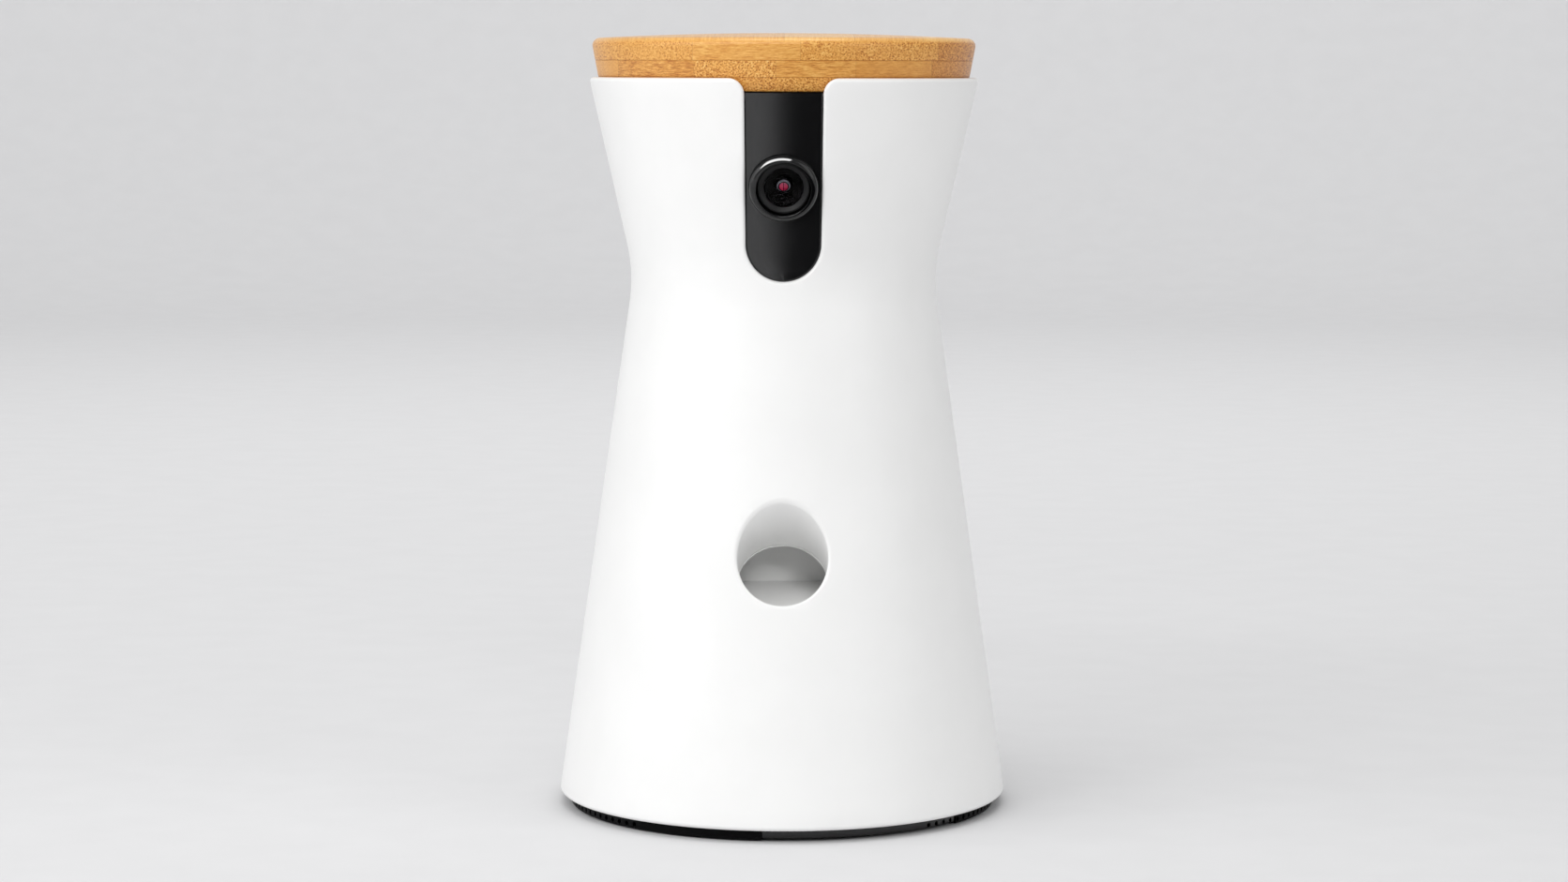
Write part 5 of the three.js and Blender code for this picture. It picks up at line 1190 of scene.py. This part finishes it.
treatBin = {
    "bottomZ": 109.1,
    "wall": 1.8,
    "wellSideGap": 6.25,
    "wellTopZ": 126.0,
    "waistZ": 150.6,
    "waistSideGap": 1.35,
    "flangeSideGap": 1.0,
    "flangeWidth": 5.8,
    "flangeThickness": 1.7,
    "topZ": 208.1,
    "bayHalfWidth": 14.9,
    "bayBottomZ": 149.6,
    "bayFrontY": -80,
    "bayBackGap": 3.4,
    "bayEdge": 1.2,
    "cameraRear": (0, -19, -15.9),
    "channelHalfWidth": 3.6,
    "channelBackGap": 1.6,
    "channelBottomZ": 100,
    "channelOverlap": 3,
    "edge": 0.5,
    "mouthFlare": 1.6,
    "wellCorner": 3,
    "waistCorner": 8,
    "rowHeight": 6,
    "steps": 192,
}


def insideAt(z):  # half the width between the body's walls at a height
    return halfWidthAt(z) - bodyForm["wall"]


wellRadius = insideAt(treatBin["wellTopZ"]) - treatBin["wall"] - treatBin["wellSideGap"]
bayTopZ = treatBin["topZ"] - treatBin["flangeThickness"]
bayBackY = (lensFrame @ Vector(treatBin["cameraRear"])).y + treatBin["bayBackGap"]


def binRatio(z):  # the bin is round at its well and oval from the waist up
    share = min(1, max(0, (z - treatBin["wellTopZ"]) / (treatBin["waistZ"] - treatBin["wellTopZ"])))
    return 1 + (depthRatio - 1) * share


def spunBin(section):
    bm = spun(divided(rounded(section), treatBin["rowHeight"]), treatBin["steps"], 1)
    for vert in bm.verts:
        vert.co.y *= binRatio(vert.co.z)
    return bm


def cameraBay(grow, topZ):  # what the camera and its cable take out of the front of the bin
    wide, channel = treatBin["bayHalfWidth"] + grow, treatBin["channelHalfWidth"] + grow
    front, back = treatBin["bayFrontY"], -wellRadius - treatBin["wall"] - treatBin["channelBackGap"] + grow
    lowZ = treatBin["bayBottomZ"] - grow
    bay = boxBetween((-wide, front, lowZ), (wide, bayBackY + grow, topZ))
    soft = [e for e in bay.edges if min(v.co.z for v in e.verts) < lowZ + 0.01]
    slotTop = treatBin["bayBottomZ"] + treatBin["channelOverlap"]
    slot = boxBetween((-channel, front, treatBin["channelBottomZ"]), (channel, back, slotTop))
    return fused(eased(bay, soft, treatBin["bayEdge"], 4), slot)


def makeBin():
    wall, edge, lowZ, topZ = treatBin["wall"], treatBin["edge"], treatBin["bottomZ"], treatBin["topZ"]
    wellZ, waistZ = treatBin["wellTopZ"], treatBin["waistZ"]
    waistOut = insideAt(waistZ) - treatBin["waistSideGap"]
    flange = insideAt(bayTopZ) - treatBin["flangeSideGap"]
    outside = flange - treatBin["flangeWidth"]
    inside, flare = outside - wall, edge * treatBin["mouthFlare"]
    outer = spunBin([
        (0, lowZ),
        (wellRadius + wall, lowZ, edge),
        (wellRadius + wall, wellZ),
        (waistOut, waistZ),
        (outside, bayTopZ),
        (flange, bayTopZ, edge),
        (flange, topZ, edge),
        (0, topZ),
    ])
    inner = spunBin([
        (0, lowZ - past),
        (wellRadius, lowZ - past),
        (wellRadius, wellZ, treatBin["wellCorner"]),
        (waistOut - wall, waistZ, treatBin["waistCorner"]),
        (inside, bayTopZ),
        (inside, topZ - edge),
        (inside + flare, topZ - edge + flare),
        (inside + flare, topZ + past),
        (0, topZ + past),
    ])
    room = carved(inner, cameraBay(wall, topZ + 2 * past))
    return carved(carved(outer, cameraBay(0, bayTopZ)), room)


feedDisc = {"lowZ": 109.4, "topZ": 119.8, "edge": 0.6, "sideGap": 0.6, "bore": 2.58, "boreEdge": 0.2,
            "bossRadius": 10.0, "bossHeight": 2.0, "bossDraft": 0.4, "bossEdge": 0.6, "bossFoot": 0.8,
            "pockets": 4, "pocketRadius": 8.6, "pocketSteps": 64, "rimWidth": 1.4, "lip": 0.9,
            "flareGrow": 0.4, "flareRise": 3.0, "rowHeight": 8, "steps": 160}
agitator = {"lowZ": 121.9, "radius": 11.0, "height": 9.0, "edge": 0.5, "steps": 96,
            "fins": 3, "finLength": 17.0, "finThickness": 2.4, "finHeight": 4.0, "finEdge": 0.8}


def makeFeedDisc():
    radius = wellRadius - feedDisc["sideGap"]
    low, top, edge = feedDisc["lowZ"], feedDisc["topZ"], feedDisc["edge"]
    bore, boss, bossTop = feedDisc["bore"], feedDisc["bossRadius"], top + feedDisc["bossHeight"]
    section = rounded([
        (bore, low, feedDisc["boreEdge"]),
        (radius, low, edge),
        (radius, top, edge),
        (boss, top, feedDisc["bossFoot"]),
        (boss - feedDisc["bossDraft"], bossTop, feedDisc["bossEdge"]),
        (bore, bossTop, feedDisc["boreEdge"]),
    ])
    disc = spun(divided(section, feedDisc["rowHeight"]), feedDisc["steps"])
    pocket, lip = feedDisc["pocketRadius"], feedDisc["lip"]
    rounds = [(lip * (1 - math.sin(t)), top - lip * (1 - math.cos(t))) for t in evenly(6, 0, math.pi / 2)[1:]]
    levels = [(rounds[0][0] + feedDisc["flareGrow"], top + feedDisc["flareRise"]), *rounds, (0, low - past)]
    out = radius - pocket - feedDisc["rimWidth"]
    tools = []
    for i in range(feedDisc["pockets"]):
        a = math.tau * (i + 0.5) / feedDisc["pockets"] - math.pi / 2
        ring = (feedDisc["pocketSteps"], out * math.cos(a), out * math.sin(a))
        tools.append(lofted([[(*p, z) for p in circle(pocket + grow, *ring)] for grow, z in levels]))
    return carved(disc, together(*tools))


def makeAgitator():
    low, radius, height = agitator["lowZ"], agitator["radius"], agitator["height"]
    half, length, finTop = agitator["finThickness"] / 2, agitator["finLength"], low + agitator["finHeight"]
    dome = [(radius * math.cos(t), low + height / 3 + height * 2 / 3 * math.sin(t))
            for t in evenly(14, 0, math.pi / 2)[:-1]]
    section = rounded([(0, low), (radius, low, agitator["edge"]), *dome, (0, low + height)])
    fins = []
    for i in range(agitator["fins"]):
        fin = boxBetween((0, -half, low), (length, half, finTop))
        eased(fin, [e for e in fin.edges if max(v.co.x for v in e.verts) > 1], agitator["finEdge"])
        turn = Matrix.Rotation(math.tau * i / agitator["fins"] + math.pi / 2, 3, "Z")
        bmesh.ops.rotate(fin, matrix=turn, verts=fin.verts)
        fins.append(fin)
    return fused(spun(section, agitator["steps"]), *fins)


lidPlug = {"wall": 1.8, "cap": 1.5, "groove": 0.8, "sealRise": 2.6, "sealHeight": 3.0, "corner": 1.2,
           "edge": 0.6, "steps": 96}
lidSeal = {  # the lips: for some heights up the seal, the share of its full reach
    "overlap": 0.3,
    "lips": ((0, 0.35), (0.12, 1), (0.26, 1), (0.42, 0.45), (0.58, 0.45), (0.74, 1), (0.88, 1), (1, 0.35)),
}


def cutOval(halfWidth, frontY, z):  # an oval whose front is cut straight across, with rounded corners
    halfDepth = halfWidth * depthRatio
    start = math.asin(frontY / halfDepth)
    angles = evenly(lidPlug["steps"], start, math.pi - start)
    oval = [(halfWidth * math.cos(a), halfDepth * math.sin(a)) for a in angles]
    run = rounded([(*oval[0], lidPlug["corner"]), *oval[2:-2], (*oval[-1], lidPlug["corner"])])
    return [(p.x, p.y, z) for p in run]


def cutOvalBlock(wide, front, low, high):
    return lofted([cutOval(wide, front, z) for z in (low, high)])


def makePlug():
    low, high = boxOf("lid_plug")
    wide, front, edge, groove = high.x, low.y, lidPlug["edge"], lidPlug["groove"]
    edgeRings = [cutOval(wide - edge * inset, front + edge * inset, low.z + edge * rise)
                 for inset, rise in ((1, 0), (0.3, 0.3), (0, 1))]
    outer = lofted([*edgeRings, cutOval(wide, front, high.z)])
    deep = lidPlug["wall"] + groove
    pocket = cutOvalBlock(wide - deep, front + deep, low.z - past, high.z - lidPlug["cap"])
    sealLow = low.z + lidPlug["sealRise"]
    sealHigh = sealLow + lidPlug["sealHeight"]
    band = carved(cutOvalBlock(wide + past, front - past, sealLow, sealHigh),
                  cutOvalBlock(wide - groove, front + groove, sealLow - past, sealHigh + past))
    return carved(carved(outer, pocket), band)


def makeSeal():  # a soft ring with two lips
    (_, reach, low), (proud, _, high) = boxOf("lid_seal")
    plugLow, plugHigh = boxOf("lid_plug")
    inset = lidPlug["groove"] - lidSeal["overlap"]
    core, front = plugHigh.x - inset, plugLow.y + inset
    rings = []
    for rise, share in lidSeal["lips"]:
        wide, frontY = core + (proud - core) * share, front + (reach - front) * share
        rings.append(cutOval(wide, frontY, low + (high - low) * rise))
    return carved(lofted(rings), cutOvalBlock(core, front, low - past, high + past))


addPiece("treatBin", makeBin(), greyPlastic, "body", "grey_plastic", "treat_hopper")
addPiece("feedDisc", makeFeedDisc(), chamberPlastic, "rotor", "grey_plastic", "feed_rotor")
addPiece("agitator", makeAgitator(), softSilicone, "rotor", "silicone", "rotor_agitator")
addPiece("lidPlug", makePlug(), whitePlug, "lid", "white_shell", "lid_plug")
addPiece("lidSeal", makeSeal(), softSilicone, "lid", "silicone", "lid_seal")
print("bin, feed disc, plug and seal made")


# The toss chamber behind the throat, and its paddle

chamber = {
    "wall": 1.8,
    "halfWidth": 14.3,
    "gap": 0.3,
    "hub": 2.7,
    "sag": 3.3,
    "floorDrop": 1.8,
    "backY": -17.69,
    "outerEdge": 0.8,
    "sumpEdge": 2.0,
    "corner": 2.4,
    "rimEdge": 0.2,
    "ceilingCorner": 1.5,
    "sillCorner": 0.3,
    "seatCorner": 1.0,
    "mouthSlack": 0.1,
    "mouthPast": 0.3,
    "plateFront": 11.6,
    "plateBack": 13.0,
    "plateLow": 23.0,
    "bossRadius": 3.6,
    "bossLength": 5.3,
    "earWidth": 6.0,
    "earThickness": 2.0,
    "earLength": 14.0,
    "earGap": 4.0,
    "earEdge": 0.4,
    "peg": (4.508, 4.53),
    "pegRadius": 1.0,
    "pegPast": 0.92,
    "sunk": 0.3,
    "shaftHole": 1.58,
    "noseHole": 3.2,
    "holesFrom": 5.0,
    "edge": 0.25,
}
paddle = {"halfWidth": 13.5, "thickness": 2.2, "restDegrees": 13.4, "tipEdge": 0.9, "edge": 0.3}
pivot = middleOf("paddle_shaft")
restSlope = math.tan(math.radians(paddle["restDegrees"]))
rampDrop = restSlope * (chamber["backY"] - pivot.y)
backFloorZ = pivot.z - chamber["sag"] + rampDrop + chamber["floorDrop"] / 3


def behindThroat(along, up):
    return mouth + inward * (throat["length"] + along) + upward * up


def slab(outline, low, high, edge=0):  # an outline in y and z with a thickness along x, its end edges eased
    ends = [(low, -edge), (low + edge, 0), (high - edge, 0), (high, -edge)] if edge else [(low, 0), (high, 0)]
    points = [Vector(p) for p in outline]
    middle = sum(points, Vector((0, 0))) / len(points)
    return lofted([[(x, *(p + (p - middle).normalized() * grow)) for p in points] for x, grow in ends])


def rodAcross(radius, low, high, y, z, sides=48):
    return rodBetween(radius, (low, y, z), (high, y, z), sides)


def chamberOutside(topZ):
    wall, backOut = chamber["wall"], chamber["backY"] + chamber["wall"]
    reach = throat["boreRadius"] + throat["wall"] + wall
    upper, lower = behindThroat(chamber["gap"], reach), behindThroat(chamber["gap"], -reach)
    return rounded([
        (upper.y, upper.z, chamber["outerEdge"]),
        (lower.y, lower.z, chamber["outerEdge"]),
        (pivot.y, pivot.z - chamber["sag"] - chamber["floorDrop"], chamber["sumpEdge"]),
        (backOut, backFloorZ - chamber["floorDrop"], chamber["corner"] + wall),
        (backOut, topZ, chamber["rimEdge"]),
        (upper.y, topZ, chamber["rimEdge"]),
    ])


def chamberInside(topZ):
    wall, bore, deep = chamber["wall"], throat["boreRadius"], chamber["gap"] + chamber["wall"]
    frontY = behindThroat(chamber["gap"], bore + throat["wall"] + wall).y + wall
    ceiling = behindThroat(deep, (frontY - behindThroat(deep, 0).y) / upward.y)
    sill = behindThroat(deep, -bore - chamber["gap"] * 2)
    return rounded([
        (ceiling.y, ceiling.z, chamber["ceilingCorner"]),
        (sill.y, sill.z, chamber["sillCorner"]),
        (pivot.y, pivot.z - chamber["sag"], chamber["seatCorner"]),
        (chamber["backY"], backFloorZ, chamber["corner"]),
        (chamber["backY"], topZ + past),
        (frontY, topZ + past),
    ])


def makeChamber():
    half, side, edge = chamber["halfWidth"], chamber["halfWidth"] + chamber["wall"], chamber["edge"]
    gap, sunk, slack = chamber["gap"], chamber["sunk"], chamber["mouthSlack"]
    topZ = boxOf("toss_housing")[1].z
    release, motor = middleOf("release_shaft"), middleOf("toss_motor")
    box = slab(chamberOutside(topZ), -side, side, edge)
    plateLow = (release.y - chamber["plateFront"], chamber["plateLow"])
    plateHigh = (motor.y + chamber["plateBack"], pivot.z)
    plate = slab(rectangle(plateLow, plateHigh, chamber["wall"]), half, side, edge)
    boss = rodAcross(chamber["bossRadius"], half - chamber["bossLength"], side - sunk, release.y, release.z)
    earX, earBack = side + chamber["earWidth"], chamber["backY"] - chamber["earGap"]
    earFront, earLow = earBack - chamber["earLength"], topZ - chamber["earThickness"]
    ears = boxBetween((-earX, earFront, earLow), (earX, earBack, topZ))
    eased(ears, ears.edges[:], chamber["earEdge"])
    pegAt = (pivot.y + chamber["peg"][0], pivot.z + chamber["peg"][1])
    pegEnd = boxOf("toss_spring")[1].x - chamber["pegPast"]
    peg = rodAcross(chamber["pegRadius"], pegEnd, -half - sunk, *pegAt, 32)
    whole = carved(fused(box, plate, boss, ears, peg), slab(chamberInside(topZ), -half, half))
    wide, back = throat["boreRadius"] + slack, throat["length"] + chamber["mouthPast"] + gap
    mouthCut = lofted([
        throatRing(wide, throat["length"] - past),
        throatRing(wide, back),
        throatRing(half - slack, back + chamber["wall"]),
    ])
    holes = [
        rodAcross(chamber["shaftHole"], -side - past, side + past, pivot.y, pivot.z),
        rodAcross(chamber["shaftHole"], chamber["holesFrom"], side + past, release.y, release.z),
        rodAcross(chamber["noseHole"], chamber["holesFrom"], side + past, motor.y, motor.z),
    ]
    return carved(carved(whole, mouthCut), together(*holes))


def makePaddle():  # drawn flat along y from its hub, then turned to rest
    turn, tip = math.radians(paddle["restDegrees"]), paddle["tipEdge"]
    half, wide, edge = paddle["thickness"] / 2, paddle["halfWidth"], paddle["edge"]
    tipY = boxOf("toss_paddle")[1].y
    length = (tipY - pivot.y - half * math.sin(turn)) / math.cos(turn)
    side = rounded([(0, -half), (length, -half, tip), (length, half, tip), (0, half)])
    whole = fused(slab(side, -wide, wide, edge), slab(circle(chamber["hub"], 64), -wide, wide, edge))
    whole = carved(whole, rodAcross(chamber["shaftHole"], -wide - past, wide + past, 0, 0))
    place = Matrix.Translation((0, pivot.y, pivot.z)) @ Matrix.Rotation(turn, 4, "X")
    bmesh.ops.transform(whole, matrix=place, verts=whole.verts)
    return whole


# The paddle's spring: a coil about the paddle's shaft, one leg at the chamber's peg and the other towards the
# lever's pin

spring = {"coilRadius": 3.8, "wireRadius": 0.5, "turns": 3.5, "pitch": 1.5, "gap": 0.3,
          "legLength": 8.0, "legDegrees": -65.0, "stepsPerTurn": 36, "sides": 12, "endEdge": 0.15}
springFrom = -chamber["halfWidth"] - chamber["wall"] - spring["gap"] - spring["wireRadius"]
springTo = springFrom - spring["turns"] * spring["pitch"]


def onWire(x, angle, along):  # a point of the wire, at an angle of its coil or some way along a leg
    y = pivot.y + spring["coilRadius"] * math.cos(angle) - along * math.sin(angle)
    z = pivot.z + spring["coilRadius"] * math.sin(angle) + along * math.cos(angle)
    return Vector((x, y, z))


def makeSpring():
    last = math.radians(spring["legDegrees"])
    first = last - math.tau * spring["turns"]
    leg, endEdge = spring["legLength"], spring["endEdge"]
    legs = [leg, leg - endEdge, leg / 2]
    run = [onWire(springFrom, first, -along) for along in legs]
    for share in evenly(round(spring["turns"] * spring["stepsPerTurn"])):
        run.append(onWire(springFrom + (springTo - springFrom) * share, first + (last - first) * share, 0))
    run += [onWire(springTo, last, along) for along in legs[::-1]]
    end = len(run) - 1
    rings = []
    for i, point in enumerate(run):
        ahead = (run[min(i + 1, end)] - run[max(i - 1, 0)]).normalized()
        side = ahead.cross(Vector((1, 0, 0))).normalized()
        radius = spring["wireRadius"] - (endEdge if i in (0, end) else 0)
        rings.append([point + radius * (side * math.cos(a) + side.cross(ahead) * math.sin(a))
                      for a in turnSteps(spring["sides"])])
    return lofted(rings)


addPiece("tossChamber", makeChamber(), chamberPlastic, "body", "grey_plastic", "toss_housing")
addPiece("tossPaddle", makePaddle(), chamberPlastic, "paddle", "grey_plastic", "toss_paddle")
wire = addPiece("tossSpring", makeSpring(), brightSteel, None, "steel", "toss_spring", crease=40)
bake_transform(wire)
print("toss chamber, paddle and spring made")


# The solids that stay get their finishes

keptSolids = {
    greyPlastic: ["tower_frame"],
    innerBlack: ["speaker_frame", "lens_holder"],
    speakerPaper: ["speaker_cone"],
    brightSteel: ["ballast_plate", "speaker_magnet", "motor_bracket", "rotor_shaft", "paddle_shaft",
                  "release_shaft"],
    motorCan: ["feed_motor", "toss_motor", "wifi_module"],
    turnedBrass: ["rotor_bush", "feed_pinion", "toss_pinion"],
    gearPlastic: ["rotor_gear", "paddle_quadrant", "spring_arm", "release_gear", "reduction_gear"],
    circuitBoard: ["light_board", "power_board", "camera_board", "infrared_board"],
    chipBlack: ["reset_switch", "image_sensor"],
    cableJacket: ["camera_cable", "feed_motor_lead", "toss_motor_lead"],
}
for finish, names in keptSolids.items():
    for name in names:
        for place in nodes[name].material_slots:
            place.material = finish
print("solids finished")


# The studio: paper that sweeps up behind the object, the camera, the lights and a flag

stage = {"floorRadius": 2.4, "sweep": 0.8, "wallTop": 1.3, "sweepSteps": 12, "steps": 96}


def makeStage():
    radius, sweep = stage["floorRadius"], stage["sweep"]
    angles = evenly(stage["sweepSteps"], 0, math.pi / 2)
    curve = [(radius + sweep * math.sin(a), sweep * (1 - math.cos(a))) for a in angles]
    bm = spun([(0, 0), *curve, (radius + sweep, stage["wallTop"])], stage["steps"])
    floor = objectFrom("floor", bm, floorPaper)
    floor.data.shade_smooth()


floorPaper = mouldedPlastic("floorPaper", (228, 228, 229), (226, 226, 227), 0.75, 0.85)
makeStage()

camera = {"x": 0.0003, "y": -1.2614, "z": 0.2166, "pitchDegrees": 5.011, "rollDegrees": 0.148, "lens": 99.23}


def makeCamera():
    lens = bpy.data.cameras.new("camera")
    lens.lens, lens.sensor_width, lens.clip_start = camera["lens"], 36, 0.01
    view = bpy.data.objects.new("camera", lens)
    aim = Matrix.Rotation(math.radians(90 - camera["pitchDegrees"]), 4, "X")
    roll = Matrix.Rotation(math.radians(camera["rollDegrees"]), 4, "Z")
    view.matrix_world = Matrix.Translation((camera["x"], camera["y"], camera["z"])) @ aim @ roll
    bpy.context.scene.collection.objects.link(view)
    bpy.context.scene.camera = view


makeCamera()

studio = {
    "lights": {  # where each stands, what it aims at, its width and height, and its power
        "keyLight": ((-1.1, -0.95, 0.85), (0, 0, 0.11), (1.0, 1.0), 4.6),
        "leftLight": ((-1.6, -0.3, 0.6), (0, 0, 0.11), (1.2, 1.2), 4.9),
        "fillLight": ((1.3, -0.9, 0.6), (0, 0, 0.11), (1.2, 1.2), 3.9),
        "topLight": ((0.0, 0.0, 1.5), (0, 0, 0.11), (0.9, 0.5), 4.6),
        "stripLight": ((-0.3, -1.15, 1.0), (0, 0, 0.1), (1.3, 0.2), 6.2),
        "wallLight": ((0.0, 1.2, 1.9), (0, 3.0, 0.4), (1.6, 1.6), 20),
        "edgeLight": ((-0.45, -1.1, 1.15), (0, 0, 0.18), (1.9, 1.1), 115),
        "throatLight": ((0.15, -1.14, 0.59), (0, -0.03, 0.07), (0.3, 0.3), 4.6),
    },
    "kept": {"edgeLight": ("lensBezel",), "throatLight": ("tossChamber", "tossPaddle")},
    "skyStrength": 0.45,
}
flag = {"low": (-0.12, -0.75), "high": (0.5, -0.17), "z": 0.01, "thickness": 0.002, "clearTo": -0.11,
        "darkFrom": 0.11}


def makeFlag():  # a dark card low on the right that shows in gloss only, and darkens the panel's right
    dark = makeFinish("flagCloth", {"Base Color": (0, 0, 0, 1), "Roughness": 1.0, "Specular IOR Level": 0.0},
                      lambda place: {"Alpha": place.parts()[0].over(flag["clearTo"], flag["darkFrom"])})
    low, high = (*flag["low"], flag["z"]), (*flag["high"], flag["z"] + flag["thickness"])
    card = objectFrom("flag", boxBetween(low, high), dark)
    card.visible_camera = card.visible_diffuse = card.visible_shadow = card.visible_transmission = False


def makeLights():
    for name, (place, aim, size, power) in studio["lights"].items():
        light = bpy.data.lights.new(name, "AREA")
        light.shape, light.energy = "RECTANGLE", power
        light.size, light.size_y = size
        made = bpy.data.objects.new(name, light)
        turn = (Vector(place) - Vector(aim)).to_track_quat("Z", "Y").to_matrix().to_4x4()
        made.matrix_world = Matrix.Translation(place) @ turn
        bpy.context.scene.collection.objects.link(made)
    bpy.data.objects["edgeLight"].visible_diffuse = False
    for name, pieces in studio["kept"].items():  # these lights fall on these pieces only
        lit = bpy.data.collections.new(name)
        for piece in pieces:
            lit.objects.link(bpy.data.objects[piece])
        bpy.data.objects[name].light_linking.receiver_collection = lit
    world = bpy.data.worlds.new("studio")
    world.use_nodes = True
    sky = world.node_tree.nodes["Background"]
    sky.inputs["Color"].default_value = (1, 1, 1, 1)
    sky.inputs["Strength"].default_value = studio["skyStrength"]
    bpy.context.scene.world = world
    bpy.context.scene.view_settings.view_transform = "Standard"


makeFlag()
makeLights()
print("stage, camera and lights made")
